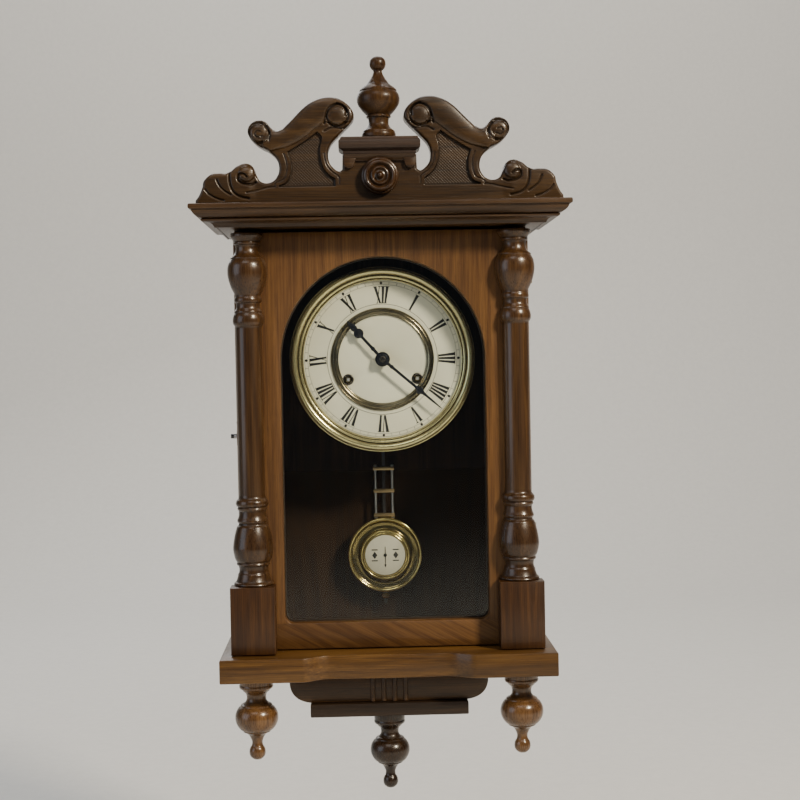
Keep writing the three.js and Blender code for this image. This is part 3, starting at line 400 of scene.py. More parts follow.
def dishing(name, profile, x, z, material, body, replaces=(), sides=128, shaded_bands=()):
    """A turned piece about an axis from front to back, from (radius, depth) points.

    The last argument gives bands of radii with painted shade, darker there: from, to and how dark.
    """
    line = spline_runs(profile, 0.5)
    shade = profile_cavity([(d, r) for r, d in line], 2.2, 1.2)
    # painted shade over the given bands
    for low, high, amount in shaded_bands:
        shade = [max(dark, amount) if low < r < high else dark for dark, (r, _) in zip(shade, line)]
    points, recess_shade = [], []
    for (radius, depth), dark in zip(line, shade):
        for k in range(sides):
            angle = 2 * math.pi * k / sides
            points.append((x + radius * math.sin(angle), depth, z + radius * math.cos(angle)))
            recess_shade.append(dark)
    return weld(piece(name, points, walls(0, len(line), sides), material, body, replaces, recess_shade))


def contains(points, loop):
    """Whether each point lies inside a closed loop."""
    result = np.zeros(len(points), bool)
    for i, (x1, z1) in enumerate(loop):
        x0, z0 = loop[i - 1]
        crosses = (z0 > points[:, 1]) != (z1 > points[:, 1])
        at = (x1 - x0) * (points[:, 1] - z0) / ((z1 - z0) or 1e-9) + x0
        result ^= crosses & (points[:, 0] < at)
    return result


def raised(profile, level):
    """A profile of (radius, depth) points with its depths measured from a level."""
    return [(radius, level + depth, *corner) for radius, depth, *corner in profile]


def fill(loops):
    """Points, and triangles over them, for a flat region: the first loop is its edge, the others holes."""
    flat = [Vector(p) for loop in loops for p in loop]
    edges, start = [], 0
    for loop in loops:
        edges += [(start + i, start + (i + 1) % len(loop)) for i in range(len(loop))]
        start += len(loop)
    verts, _, faces, _, _, _ = geometry.delaunay_2d_cdt(flat, edges, [], 1, 1e-7)
    verts = [tuple(v) for v in verts]
    centres = np.array([np.mean([verts[i] for i in face], axis=0) for face in faces])
    kept = contains(centres, loops[0])
    for hole in loops[1:]:
        kept &= ~contains(centres, hole)
    return verts, [tuple(face) for face, keep in zip(faces, kept) if keep]


def offset(loop, distance):
    """A closed loop moved inwards by a small distance (the loop runs anticlockwise)."""
    points = np.array(loop, float)
    before = points - np.roll(points, 1, axis=0)
    after = np.roll(points, -1, axis=0) - points
    normals = []
    for a, b in zip(before, after):
        na = np.array((-a[1], a[0])) / (np.linalg.norm(a) + 1e-12)
        nb = np.array((-b[1], b[0])) / (np.linalg.norm(b) + 1e-12)
        joined = na + nb
        normals.append(joined / max(0.35, joined @ na))
    return [tuple(p) for p in points + distance * np.array(normals)]


def anticlockwise(loop):
    """The same loop, turned round if it runs clockwise."""
    area = sum(a[0] * b[1] - b[0] * a[1] for a, b in zip(loop, loop[1:] + loop[:1]))
    return list(loop) if area > 0 else list(reversed(loop))


def board(name, edges, material, body, replaces=(), plane="xz"):
    """A flat piece in the X-Z plane, or lying in the X-depth plane.

    Each edge is an outline and its list of (level, distance moved into the wood), from the back forwards or
    from below upwards. The first edge is the outside and the others are holes.
    """
    edges = [(anticlockwise(loop), steps, -1 if number else 1)
             for number, (loop, steps) in enumerate(edges)]
    points, faces = [], []

    def lay(flat, level):
        points.extend((x, level, y) if plane == "xz" else (x, y, level) for x, y in flat)

    for loop, steps, sign in edges:
        faces += walls(len(points), len(steps), len(loop))
        for level, inset in steps:
            lay(offset(loop, sign * inset), level)
    for end in (0, -1):
        verts, cap = fill([offset(loop, sign * steps[end][1]) for loop, steps, sign in edges])
        faces += [tuple(len(points) + i for i in face) for face in cap]
        lay(verts, edges[0][1][end][0])
    return weld(piece(name, points, faces, material, body, replaces))


def slab(name, loop, low, high, material, body, slot, replaces=(), rounding=1.0, plane="xz", holes=()):
    """A board of even thickness with softly rounded edges."""
    steps = [(low, rounding), (low + 0.3 * rounding, 0.3 * rounding), (low + rounding, 0.0),
             (high - rounding, 0.0), (high - 0.3 * rounding, 0.3 * rounding), (high, rounding)]
    edges = [(ring, steps) for ring in [loop, *holes]]
    return board(name, edges, material, body, replaces, plane)


def oblong(left, right, low, high):
    """An anticlockwise rectangle."""
    return [(left, low), (right, low), (right, high), (left, high)]


def box_slab(name, node, material, body, slot, rounding=0.8, plane="xz"):
    """The rounded board that stands for a box-shaped node."""
    left, right, back, front, bottom, top = limits(node)
    if plane == "xz":
        loop = oblong(left, right, bottom, top)
        return slab(name, loop, back, front, material, body, slot, (node,), rounding)
    loop = oblong(left, right, back, front)
    return slab(name, loop, bottom, top, material, body, slot, (node,), rounding, plane)


# ------------------------------------------------------------------ outlines

def arc(x, z, radius, start, end, count):
    """Points on a circle between two angles in degrees, anticlockwise from +X."""
    angles = [math.radians(start + (end - start) * i / count) for i in range(count + 1)]
    return [(x + radius * math.cos(a), z + radius * math.sin(a)) for a in angles]


def circle(x, z, radius, count=96):
    return arc(x, z, radius, 0, 360, count)[:-1]


def bezier(points, count=16):
    """Points along a quadratic or cubic curve, without its first point."""
    line = []
    for i in range(1, count + 1):
        t = i / count
        layer = [np.array(p, float) for p in points]
        while len(layer) > 1:
            layer = [a * (1 - t) + b * t for a, b in zip(layer, layer[1:])]
        line.append(tuple(layer[0]))
    return line


def mirror_loop(half):
    """A symmetrical outline from its right half."""
    return list(half) + [(-x, z) for x, z in reversed(half) if abs(x) > 1e-6]


OPENING_RADIUS = 95.6
OPENING_BOTTOM = -245.0
OPENING_CORNER = 8.0
REBATE = 6.0


def window_loop(margin):
    """The arched window outline, grown outwards by a margin."""
    half = OPENING_RADIUS + margin
    low = OPENING_BOTTOM - margin
    corner = OPENING_CORNER
    loop = arc(0, 0, half, 0, 180, 96)
    loop += arc(-half + corner, low + corner, corner, 180, 270, 10)
    loop += arc(half - corner, low + corner, corner, 270, 360, 10)
    return loop


def lofted(name, rings, material, body, replaces=()):
    """A closed piece between matching rings of [x, depth, z] points, capped at both ends by a fan."""
    count = len(rings[0])
    points = [p for ring in rings for p in ring]
    faces = walls(0, len(rings), count)
    faces.append(tuple(range(count)))
    faces.append(tuple(range(len(points) - count, len(points))))
    return piece(name, points, faces, material, body, replaces)


def stepped_box(name, node, rings, material, body):
    """A box-shaped node drawn in all round by the inset given at each height."""
    left, right, back, front, _, _ = limits(node)
    outline = oblong(left, right, back, front)
    sections = [[(x, d, z) for x, d in offset(outline, inset)] for z, inset in rings]
    return lofted(name, sections, material, body, (node,))


# ------------------------------------------------------------------ the case

GAP = 0.3
CASE = "case"
DOOR = "door"

box_slab("side_left_board", "case_side_left", veneer_up, CASE, "veneer", 1.0)
box_slab("side_right_board", "case_side_right", veneer_up, CASE, "veneer", 1.0)
box_slab("top_board_rounded", "case_top_board", walnut_across, CASE, "walnut", 0.6, "xy")


RECESS_DEPTH = 12
RECESS_HALVES = (80, 52)


def shelf_loop():
    """The shelf from above, with a recess in its front edge that swells again in the middle."""
    left, right, back, front, _, _ = limits("shelf_board")
    middle = front - RECESS_DEPTH
    wide, narrow = RECESS_HALVES
    loop = [(right, back), (right, front), (wide, front)]
    loop += bezier([(wide, front), (wide - 10, front - 1), (narrow + 14, middle), (narrow, middle)], 20)
    loop += bezier([(narrow, middle), (0, middle + 3), (-narrow, middle)], 30)
    loop += bezier([(-narrow, middle), (-narrow - 14, middle), (10 - wide, front - 1), (-wide, front)], 20)
    return loop + [(left, front), (left, back)]


slab("shelf_serpentine", shelf_loop(), *limits("shelf_board")[4:], veneer_across, CASE, "veneer",
     ("shelf_board",), 1.2, "xy")

# [outward from the top board, height above its underside]; a third value marks a sharp edge
CORNICE_PROFILE = [
    (0.3, 0.0), (2.0, 0.0, 1), (3.4, 2.6), (5.8, 4.2), (9.0, 4.9, 1), (9.8, 4.9, 1), (11.3, 4.7),
    (13.0, 5.3), (13.6, 6.4), (13.0, 7.5), (12.0, 7.9, 1), (13.6, 8.2, 1), (15.4, 8.6), (18.6, 10.6),
    (20.6, 13.2), (21.2, 15.3, 1), (22.3, 15.5, 1), (23.5, 16.0), (23.8, 17.6), (23.6, 19.5),
    (22.8, 20.2, 1), (0.3, 20.2, 1),
]


def cornice_section(place, base):
    """The moulding's section where place(out) gives the x and depth of a point that far outwards."""
    return [(*place(out), base + up) for out, up in spline_runs(CORNICE_PROFILE, 0.6)]


def build_cornice():
    """The moulding along the front and back along both sides, with a hairline gap at each mitre."""
    left, right, _, front, bottom, _ = limits("case_top_board")
    runs = [
        ("cornice_moulding_front", "cornice_front",
         lambda out: (left - out + GAP, front + out), lambda out: (right + out - GAP, front + out)),
        ("cornice_moulding_right", "cornice_return_right",
         lambda out: (right + out, 0), lambda out: (right + out, front + out - GAP)),
        ("cornice_moulding_left", "cornice_return_left",
         lambda out: (left - out, 0), lambda out: (left - out, front + out - GAP)),
    ]
    for name, node, *ends in runs:
        sections = [cornice_section(place, bottom) for place in ends]
        lofted(name, sections, walnut_across, CASE, (node,))


build_cornice()

# ------------------------------------------------------------------ the carved crest

CREST_FOOT = limits("crest_board")[4]
CREST_BACK, CREST_FRONT = limits("crest_board")[2:4]
# the right half of the outline, from its foot to the middle of its top; third values are corners
CREST_OUTLINE = [
    (168.8, CREST_FOOT), (168.6, 148, 1), (165.2, 152.6), (162, 160, 1), (160.5, 166), (154.3, 171.6),
    (147, 172.6), (141, 172.2, 1), (136, 174.2), (130.5, 178.8), (122.5, 181.3), (116, 178.2),
    (113, 170.8, 1), (109.6, 165), (103.4, 162.9), (96.5, 165.6), (92.3, 172.4), (92.2, 180),
    (95.2, 186.6), (101.4, 192.2), (106.5, 194.8), (113, 199.2), (118.6, 205.5), (119.9, 211.5),
    (117, 217.3), (110.5, 220.3), (103.6, 218.8), (98.6, 213.2), (94, 210.4), (87.8, 212.6, 1),
    (78, 222.3), (69, 231.2), (60, 237.2), (49, 240.4), (37, 239.2), (28, 233.4), (23.4, 226.5),
    (23.2, 220.5), (28, 214.4, 1), (37, 205.8), (44, 198.2), (47, 190), (45.8, 180.8), (41.3, 174.9),
    (37.2, 172.6), (34.2, 174.2, 1), (33.8, 187.5, 1),
]
# the lower edge of the rolled band that ends in both scrolls
BAND_EDGE = [(106.0, 190.5), (97.8, 192.0), (83.8, 195.3), (69.6, 202.7), (58.2, 211.6), (49.7, 217.8)]
# the sunk panel
PANEL = [
    (92.9, 160.5), (85.8, 163.8), (82.1, 172.2), (81.9, 182), (84.6, 191.2, 1), (76, 196.2),
    (66, 202.4), (56.5, 209.4, 1), (52.1, 203.9), (54.1, 192.7), (52.5, 180.1), (47.8, 171.7),
    (40.5, 165.9, 1), (40.5, 158.8, 1), (92.9, 158.8, 1), (92.9, 160.5, 1),
]
# the points, half width and depth of each carved groove
GROOVES = [
    ([(37.6, 234.4), (33.0, 232.4), (29.9, 228.4), (29.6, 223.0)], 0.9, 2.2),
    ([(49.8, 216.4), (48.4, 222.8), (44.4, 229.6), (38.4, 234.2)], 0.8, 1.5),
    ([(50.0, 209.7), (44.0, 212.6), (38.4, 212.6), (33.0, 211.4), (28.6, 213.6)], 0.8, 1.6),
    ([(101.0, 201.2), (99.6, 207.6), (103.6, 214.6)], 0.8, 1.6),
    ([(106.9, 205.4), (111.0, 204.2), (113.6, 207.2), (111.6, 210.4), (108.4, 209.6)], 0.7, 1.2),
    ([(121.4, 168.6), (124.6, 171.4), (128.8, 170.9), (129.4, 166.4), (125.6, 163.0), (117.8, 161.8),
      (113.6, 163.6)], 0.9, 2.2),
    ([(137.5, 171.6), (136.9, 163.2), (134.3, 156.0), (128.7, 151.3), (120.0, 149.0)], 0.9, 2.0),
    ([(148.8, 166.5), (146.1, 160.6), (142, 156.4), (136.5, 152.6)], 0.8, 1.6),
    ([(159.4, 157.6), (156, 153.4), (149.1, 149.4), (143.0, 147.6)], 0.8, 1.4),
    ([(122.0, 154.4), (112.4, 156.4), (103.0, 158.8), (96.0, 159.6)], 0.7, 1.0),
]


def segment_distance(points, line):
    """The distance from each point to a polyline."""
    best = np.full(len(points), 1e9)
    for a, b in zip(line, line[1:]):
        a = np.array(a)
        b = np.array(b)
        along = np.clip((points - a) @ (b - a) / ((b - a) @ (b - a) + 1e-12), 0, 1)
        best = np.minimum(best, np.hypot(*(points - a - along[:, None] * (b - a)).T))
    return best


def smooth(value, low, high):
    """Rises from 0 to 1 between two values, level at both ends."""
    t = np.clip((value - low) / (high - low), 0, 1)
    return t * t * (3 - 2 * t)


# the x, z, radius and rise of each scroll's eye: on top, at the band's outer end and low at the leaf
EYES = [(38.0, 223.6, 9.2, 3.2), (109.6, 208.6, 8.6, 3.0), (121.5, 171.5, 7.5, 2.6)]

BAND_RISE = 3.0
LEAF_SWELL = 1.6
PANEL_DEPTH = 3.0
DIAMOND_RISE = 0.34
DIAMOND_PITCH = 1.15
LINE_DEPTH = 0.9
EDGE_REACH = 2.2
EDGE_DROP = 1.9


def crest_relief(points, outline):
    """The height of the carving over the crest's face, and the painted shade in its recesses."""
    where = np.column_stack([np.abs(points[:, 0]), points[:, 1]])
    edge = segment_distance(where, outline)
    band = spline_runs(BAND_EDGE, 1.0)
    below = segment_distance(where, band)
    middle = (where[:, 0] > 23) & (where[:, 0] < 106)
    limit = np.interp(where[:, 0], [p[0] for p in reversed(band)], [p[1] for p in reversed(band)])
    above = middle & (where[:, 1] > limit)
    share = np.where(above, edge / (edge + below + 1e-6), 0)
    height = BAND_RISE * np.sqrt(np.clip(np.sin(np.pi * np.clip(share, 0, 1)), 0, 1))
    dark = np.zeros(len(points))
    for x, z, radius, rise in EYES:
        away = np.hypot(where[:, 0] - x, where[:, 1] - z) / radius
        dome = rise * np.sqrt(np.clip(1 - away ** 2, 0, 1))
        height = np.where(away < 1, np.maximum(height * away, dome), height)
    # a trench runs round the two eyes of the band, with painted shade in it
    trenches = [(EYES[1], 9.2, 1.0, 1.6, 0.6, edge > 1.0),
                (EYES[0], 9.9, 0.9, 2.0, 0.7, smooth(edge, 0.6, 1.8))]
    for (x, z, _, _), radius, width, deep, painted_shade, near in trenches:
        away = np.hypot(where[:, 0] - x, where[:, 1] - z)
        ring = np.exp(-((away - radius) / width) ** 2) * near
        height -= deep * ring
        dark += painted_shade * ring
    # the leaf at the outer end swells between its veins
    leaf = smooth(where[:, 0], 112, 122) * (where[:, 1] < 182)
    height += leaf * LEAF_SWELL * np.sin(np.clip((where[:, 1] - 143) / 36, 0, 1) * np.pi)
    # the sunk panel with its diamond ground, with painted shade on the ground, less on the diamonds and
    # more just inside the rim
    panel = spline_runs(PANEL, 1.0)
    within = contains(where, panel)
    rim_distance = segment_distance(where, panel)
    depth = np.where(within, rim_distance, 0)
    sunk = smooth(depth, 0, 1.0)
    diamonds = 1.0
    for sign in (1, -1):
        diamonds = diamonds * np.abs(np.sin((where[:, 0] + sign * where[:, 1]) * DIAMOND_PITCH))
    height = height * (1 - sunk) - PANEL_DEPTH * sunk + DIAMOND_RISE * diamonds * smooth(depth, 1.0, 1.8)
    dark += sunk * (0.32 - 0.16 * diamonds) + 0.6 * np.exp(-((depth - 0.9) / 0.7) ** 2) * (depth > 0.05)
    # a thin line runs round outside the panel, with painted shade in it
    outside = np.where(within, 0, rim_distance)
    beside = (where[:, 1] > 160.5) * (where[:, 1] < 190) * (edge > 1.2)
    line = np.exp(-((outside - 3.4) / 0.5) ** 2) * beside
    height -= LINE_DEPTH * line
    dark += 0.5 * line
    # each carved groove gets painted shade
    for line, half_width, deep in GROOVES:
        path = spline_runs(line, 0.8)
        trench = np.exp(-(segment_distance(where, path) / half_width) ** 2)
        height -= deep * trench
        dark += 0.75 * trench
    # the outer edge is rounded over, apart from its foot
    rounding = np.clip(1 - edge / EDGE_REACH, 0, 1) * (where[:, 1] > CREST_FOOT + 2.4)
    height -= EDGE_DROP * rounding ** 2
    return height, np.clip(dark, 0, 1)


def carved_edges(points, outline):
    """Whether each point lies where the carving turns sharply and so needs a close mesh."""
    busy = segment_distance(points, outline) < 2.4
    panel = spline_runs(PANEL, 1.0)
    busy |= contains(points, panel) | (segment_distance(points, panel) < 5.0)
    busy |= segment_distance(points, spline_runs(BAND_EDGE, 1.0)) < 2.0
    for line, half_width, _ in GROOVES:
        busy |= segment_distance(points, spline_runs(line, 0.8)) < 2.6 * half_width
    for x, z, radius, _ in EYES:
        busy |= np.abs(np.hypot(points[:, 0] - x, points[:, 1] - z) - radius) < 3.0
    return busy


def lattice(start, step):
    """A square lattice of points over the right half of the crest."""
    return np.array([(x, z) for x in np.arange(start, 168, step) for z in np.arange(144, 241, step)])


def build_crest():
    """The carved board: a close mesh over its face where it is carved, and plain sides and back."""
    half = spline_runs(CREST_OUTLINE, 1.1)
    loop = anticlockwise(mirror_loop(half))
    count = len(loop)
    edges = [(i, (i + 1) % count) for i in range(count)]
    coarse = lattice(0, 1.3)
    fine = lattice(0.3, 0.5)
    busy = carved_edges(fine, half)
    calm = ~carved_edges(coarse, half)
    grid = np.vstack([coarse[calm], fine[busy]])
    grid = grid[contains(grid, loop) & (segment_distance(grid, half) > 0.4)]
    grid = np.vstack([grid, grid[grid[:, 0] > 0.2] * (-1, 1)])
    flat = [Vector(p) for p in loop] + [Vector(p) for p in grid]
    verts, _, faces, _, _, _ = geometry.delaunay_2d_cdt(flat, edges, [], 1, 1e-7)
    places = np.array([tuple(v) for v in verts])
    height, dark = crest_relief(places, half)
    points = [(x, CREST_FRONT + h, z) for (x, z), h in zip(places, height)]
    rim = [int(np.argmin(np.hypot(*(places - corner).T))) for corner in np.array(loop)]
    base = len(points)
    ring = base + 2 * count
    back, back_faces = fill([offset(loop, 0.8)])
    for depth in (CREST_FRONT - 7, CREST_BACK + 0.8):
        points += [(x, depth, z) for x, z in loop]
    points += [(x, CREST_BACK, z) for x, z in back]
    # painted shade of the carving on its face, none on the sides and back
    recess_shade = list(dark) + [0.0] * (len(points) - base)
    faces = [tuple(face) for face in faces]
    faces += [(rim[k], rim[(k + 1) % count], base + (k + 1) % count, base + k) for k in range(count)]
    faces += bridge(base, base + count, count) + bridge(base + count, ring, count)
    faces += [tuple(ring + i for i in face) for face in back_faces]
    piece("crest_carving", points, faces, walnut_relief, CASE, ("crest_board",), recess_shade, 38.0)


build_crest()

back, front, bottom, top = limits("crest_cap_block")[2:]
CAP_RINGS = [(bottom, 4.2), (bottom + 2.4, 4.0), (bottom + 4.2, 1.4), (bottom + 5.0, 0.4),
             (bottom + 5.8, 0.0), (top - 4.2, 0.0), (top - 3.0, 0.5), (top - 1.6, 1.8), (top, 2.2)]
stepped_box("crest_cap_moulded", "crest_cap_block", CAP_RINGS, dark_wood, CASE)

# the height, rise from the crest and half width of the stepped support under the cap
support_top = bottom - GAP
SUPPORT = [(support_top - 6.0, 2.0, 30.6), (support_top - 4.4, 2.8, 31.2), (support_top - 2.6, 4.6, 32.2),
           (support_top, 5.4, 32.8)]
support_rings = [
    [(x, d, z) for x, d in oblong(-half, half, CREST_FRONT - 2, CREST_FRONT + rise)]
    for z, rise, half in SUPPORT
]
lofted("crest_cap_support", support_rings, walnut_across, CASE)
# a rounded corbel at each end of it
CORBEL_X = 28.0
CORBEL_RADIUS = 5.2
for side, sign in (("left", -1), ("right", 1)):
    lobe = arc(CORBEL_X, support_top - 7.6, CORBEL_RADIUS, 0, -160, 20)
    corbel = [(33.2, support_top - 2.0)] + lobe + [(22.4, support_top - 6.0), (20.6, support_top - 2.0)]
    slab(f"crest_corbel_{side}", [(sign * x, z) for x, z in corbel], CREST_FRONT - 2, CREST_FRONT + 3.6,
         walnut_across, CASE, "walnut", (), 0.8)

BOSS_Z = 167.5
BOSS_PROFILE = raised([
    (0, 12.0), (1.4, 11.6), (2.6, 10.0), (3.2, 8.2), (4.6, 7.4, 1), (5.6, 7.9), (7.2, 9.4), (8.6, 8.4),
    (9.4, 7.0, 1), (10.2, 7.6), (12.2, 9.5), (14.6, 8.3), (15.4, 6.0, 1), (16.3, 5.6), (17.0, 4.0),
    (17.0, 0, 1), (0, 0, 1),
], CREST_FRONT + GAP)
dishing("crest_boss_turned", BOSS_PROFILE, 0, BOSS_Z, boss_wood, CASE, ("crest_boss",))

FINIAL_BASE = limits("top_finial")[4]
FINIAL_PROFILE = [
    (0, FINIAL_BASE), (15.0, FINIAL_BASE, 1), (15.6, FINIAL_BASE + 0.8), (15.6, 207.0),
    (14.8, 208.6, 1), (14.4, 209.9), (11.2, 212.4), (9.4, 215.4), (9.2, 218.6), (9.6, 221.6, 1),
    (10.8, 221.8), (11.4, 223.0), (10.8, 224.2, 1), (12.6, 225.8), (15.6, 229.2), (18.8, 234.1),
    (19.7, 239), (18.8, 243), (16.9, 245.9, 1), (17.1, 246.9), (15.6, 248.6, 1), (13.4, 250.4),
    (10.4, 252.6, 1), (9.0, 254.6), (6.6, 258.0), (4.7, 261.6), (4.0, 264.0), (4.2, 265.4, 1),
    (5.6, 266.2), (7.1, 268.8), (7.5, 271.6), (6.7, 274.8), (4.2, 277.2), (0, 278.2),
]
turning("top_finial_turned", FINIAL_PROFILE, 0, (back + front) / 2, finial_wood, CASE,
        ("top_finial",), sides=96)

# ------------------------------------------------------------------ under the shelf

DROP_PROFILE = [
    (0, -78.4), (3.9, -77.5), (6.8, -74.7), (7.6, -71.0), (6.9, -67.4), (5.3, -64.9, 1), (4.9, -62),
    (5.4, -59.4), (7.8, -54.8), (11.4, -52.0, 1), (12.8, -51.6), (13.2, -50.4, 1), (15.0, -49.6),
    (17.4, -46.9), (19.4, -42.8), (20.1, -38.2), (19.3, -33.6), (17.2, -29.8), (14.8, -27.6, 1),
    (14.6, -26.6), (13.0, -25.6), (11.6, -25.2, 1), (9.6, -22.6), (9.0, -19.4), (9.6, -16.6),
    (10.6, -15.0, 1), (12.4, -13.4), (13.6, -11.8, 1), (15.2, -11.0), (15.9, -9.2), (15.5, -7.4, 1),
    (15.7, -7.0, 1), (15.7, 0, 1), (0, 0, 1),
]
COLUMN_X = 124.0
COLUMN_DEPTH = 113.0
for side, x in (("left", -COLUMN_X), ("right", COLUMN_X)):
    node = f"drop_finial_{side}"
    turning(f"drop_turned_{side}", DROP_PROFILE, x, COLUMN_DEPTH, drop_wood, CASE, (node,),
            sides=96, drop=limits(node)[5])
CENTRE_SCALE = 0.92
CENTRE_DEPTH = 100.0
small = [(r * CENTRE_SCALE, z * CENTRE_SCALE, *rest) for r, z, *rest in DROP_PROFILE]
turning("drop_turned_centre", small, 0.0, CENTRE_DEPTH, shaded_drop_wood, CASE,
        ("drop_finial_centre",), sides=96, drop=limits("drop_finial_centre")[5])

APRON_FACE = 114.0
APRON_CURVE = 18.5
REED_RADIUS = 2.4
REED_SPACING = 10.2


def build_apron():
    """The board under the shelf, its lower corners curved, with four half-round reeds on its face."""
    _, half, back, _, bottom, top = limits("apron")
    inner = half - APRON_CURVE
    loop = [(half, top), (-half, top), (-half, top - 6)]
    loop += bezier([(-half, top - 6), (-half, bottom + 3), (-inner, bottom)], 24)
    loop += [(inner, bottom)]
    loop += bezier([(inner, bottom), (half, bottom + 3), (half, top - 6)], 24)
    slab("apron_board", loop, back, APRON_FACE, apron_wood, CASE, "walnut", ("apron",), 0.9)
    for number in range(4):
        x = (number - 1.5) * REED_SPACING
        section = arc(x, APRON_FACE - 0.6, REED_RADIUS, 0, 180, 20)
        section += [(x - REED_RADIUS, APRON_FACE - 1.2), (x + REED_RADIUS, APRON_FACE - 1.2)]
        rings = [[(px, pd, z) for px, pd in section] for z in (bottom + 0.4, top - 0.1)]
        lofted(f"apron_reed_{number}", rings, apron_wood, CASE)


build_apron()
bottom, top = limits("apron_ledge")[4:]
LEDGE_RINGS = [(bottom, 1.2), (bottom + 0.5, 0.3), (bottom + 1.4, 0.0), (top - 1.4, 0.0), (top - 0.5, 0.3),
               (top, 1.2)]
stepped_box("apron_ledge_rounded", "apron_ledge", LEDGE_RINGS, ledge_wood, CASE)

# ------------------------------------------------------------------ the door

left, right, back, front, bottom, top = limits("door_panel")
door_edge = [(back, 0.6), (back + 0.6, 0.0), (front - 1.6, 0.0), (front - 0.5, 0.4), (front, 1.5)]
door_hole = [(back, REBATE), (back + REBATE, REBATE), (back + REBATE, 0.0), (front - 1.2, 0.0),
             (front - 0.4, 0.3), (front, 1.1)]
door_board = board("door_frame_board", [(oblong(left, right, bottom, top), door_edge),
                                        (window_loop(0), door_hole)],
                   veneer_up, DOOR, ("door_panel",))


VENEER_JOINT = OPENING_RADIUS + 8.0


def lay_rail_veneer():
    """Gives the bottom rail, between the two stiles, its own slanting veneer."""
    mesh = door_board.data
    work = bmesh.new()
    work.from_mesh(mesh)
    reach = VENEER_JOINT * MM
    cuts = [((0, 0, OPENING_BOTTOM * MM), (0, 0, 1)), ((reach, 0, 0), (1, 0, 0)),
            ((-reach, 0, 0), (1, 0, 0))]
    for place, normal in cuts:
        everything = work.verts[:] + work.edges[:] + work.faces[:]
        bmesh.ops.bisect_plane(work, geom=everything, dist=1e-7, plane_co=place, plane_no=normal)
    for face in work.faces:
        middle = face.calc_center_median()
        if middle.z < OPENING_BOTTOM * MM and abs(middle.x) < reach:
            face.material_index = 1
    work.to_mesh(mesh)
    work.free()
    mesh.materials.append(veneer_slant)


lay_rail_veneer()
low, high = limits("glass_bead")[2:4]
slab("glass_bead_fine", window_loop(REBATE - GAP), low, high, dark_wood, DOOR, "dark_wood", ("glass_bead",),
     0.3, holes=[window_loop(-1.0)])

BLOCK_TOP = limits("plinth_block_right")[5]
COLUMN_PROFILE = [
    (0, BLOCK_TOP + GAP), (18.0, BLOCK_TOP + GAP, 1), (18.5, -206.2), (17.9, -204.9), (16.9, -204.1, 1),
    (16.2, -203.2), (14.9, -199.4), (14.5, -197.0, 1), (13.6, -195.4), (13.3, -192.4),
    (13.8, -189.2, 1), (15.0, -188.6), (15.6, -187.3), (15.0, -186.0, 1), (17.0, -182.6),
    (18.6, -174.6), (18.2, -168.0), (16.6, -159.6), (14.6, -152.8, 1), (13.1, -151.2),
    (12.9, -149.7, 1), (14.0, -148.4), (14.2, -146.8), (13.4, -145.0, 1), (12.6, -142.2),
    (12.4, -138.8, 1), (13.4, -137.4), (13.9, -136.0), (13.2, -134.6, 1), (14.6, -133.6),
    (15.2, -131.4), (14.6, -128.8), (13.2, -127.2, 1), (12.4, -125.8), (12.1, -124.0),
    (12.1, -123.0, 1), (12.1, 30.0, 1), (12.1, 31.4), (12.6, 32.8), (13.2, 33.4, 1), (14.2, 35.6),
    (14.4, 39.0), (13.6, 42.6), (12.6, 44.8, 1), (12.9, 46.2), (12.0, 47.8, 1), (11.2, 49.6),
    (10.9, 52.2), (11.2, 54.2, 1), (12.4, 55.0), (12.8, 57.2), (12.2, 59.4, 1), (11.8, 60.4),
    (12.2, 62.2, 1), (13.2, 64.2), (15.5, 69), (17.6, 76.1), (18.5, 83.2), (17.6, 90.0),
    (15.2, 94.9, 1), (15.4, 95.9), (14.0, 96.9, 1), (12.2, 98.6), (10.9, 101.6), (10.4, 105.0),
    (11.0, 107.6, 1), (12.2, 108.2), (12.6, 109.6), (12.0, 110.8, 1), (13.0, 112.2), (14.8, 114.6),
    (15.3, 116.6), (14.8, 118.3, 1), (0, 118.3, 1),
]
COLUMN_BACK = limits("column_right")[2]
for side, x in (("left", -COLUMN_X), ("right", COLUMN_X)):
    turning(f"column_turned_{side}", COLUMN_PROFILE, x, COLUMN_DEPTH, column_wood, DOOR,
            (f"column_{side}",), flat_behind=COLUMN_BACK, sides=72)
    box_slab(f"plinth_block_rounded_{side}", f"plinth_block_{side}", block_wood, DOOR, "red_wood")

# ------------------------------------------------------------------ the dial

DIAL_BACK = 80.0
DIAL_FACE = 81.2
WINDING = ((32.8, -18.8), (-32.8, -18.8))
DIAL_RADIUS = 84.4
DIAL_CENTRE_HOLE = 6.0
WINDING_HOLE = 4.4
slab("dial_disc", circle(0, 0, DIAL_RADIUS, 160), DIAL_BACK, DIAL_FACE, dial_cream, CASE, "dial",
     ("dial_plate",), 0.2, holes=[circle(0, 0, DIAL_CENTRE_HOLE, 40)]
     + [circle(x, z, WINDING_HOLE, 32) for x, z in WINDING])

rim = DIAL_FACE + GAP
outer = limits("dial_bezel")[1]
BEZEL_PROFILE = raised([
    (74.8, 0), (74.9, 1.3, 1), (75.6, 1.9), (76.6, 1.5, 1), (77.4, 2.6), (78.8, 3.1), (80.0, 2.5, 1),
    (80.3, 4.1, 1), (81.6, 5.5), (83.4, 6.2), (85.0, 5.8), (86.2, 4.6), (outer - 1.1, 3.2, 1),
    (outer - 0.4, 2.9), (outer, 1.8), (outer, -4.5, 1), (outer - 3.0, -4.5, 1), (outer - 3.0, 0, 1),
    (74.8, 0, 1),
], rim)
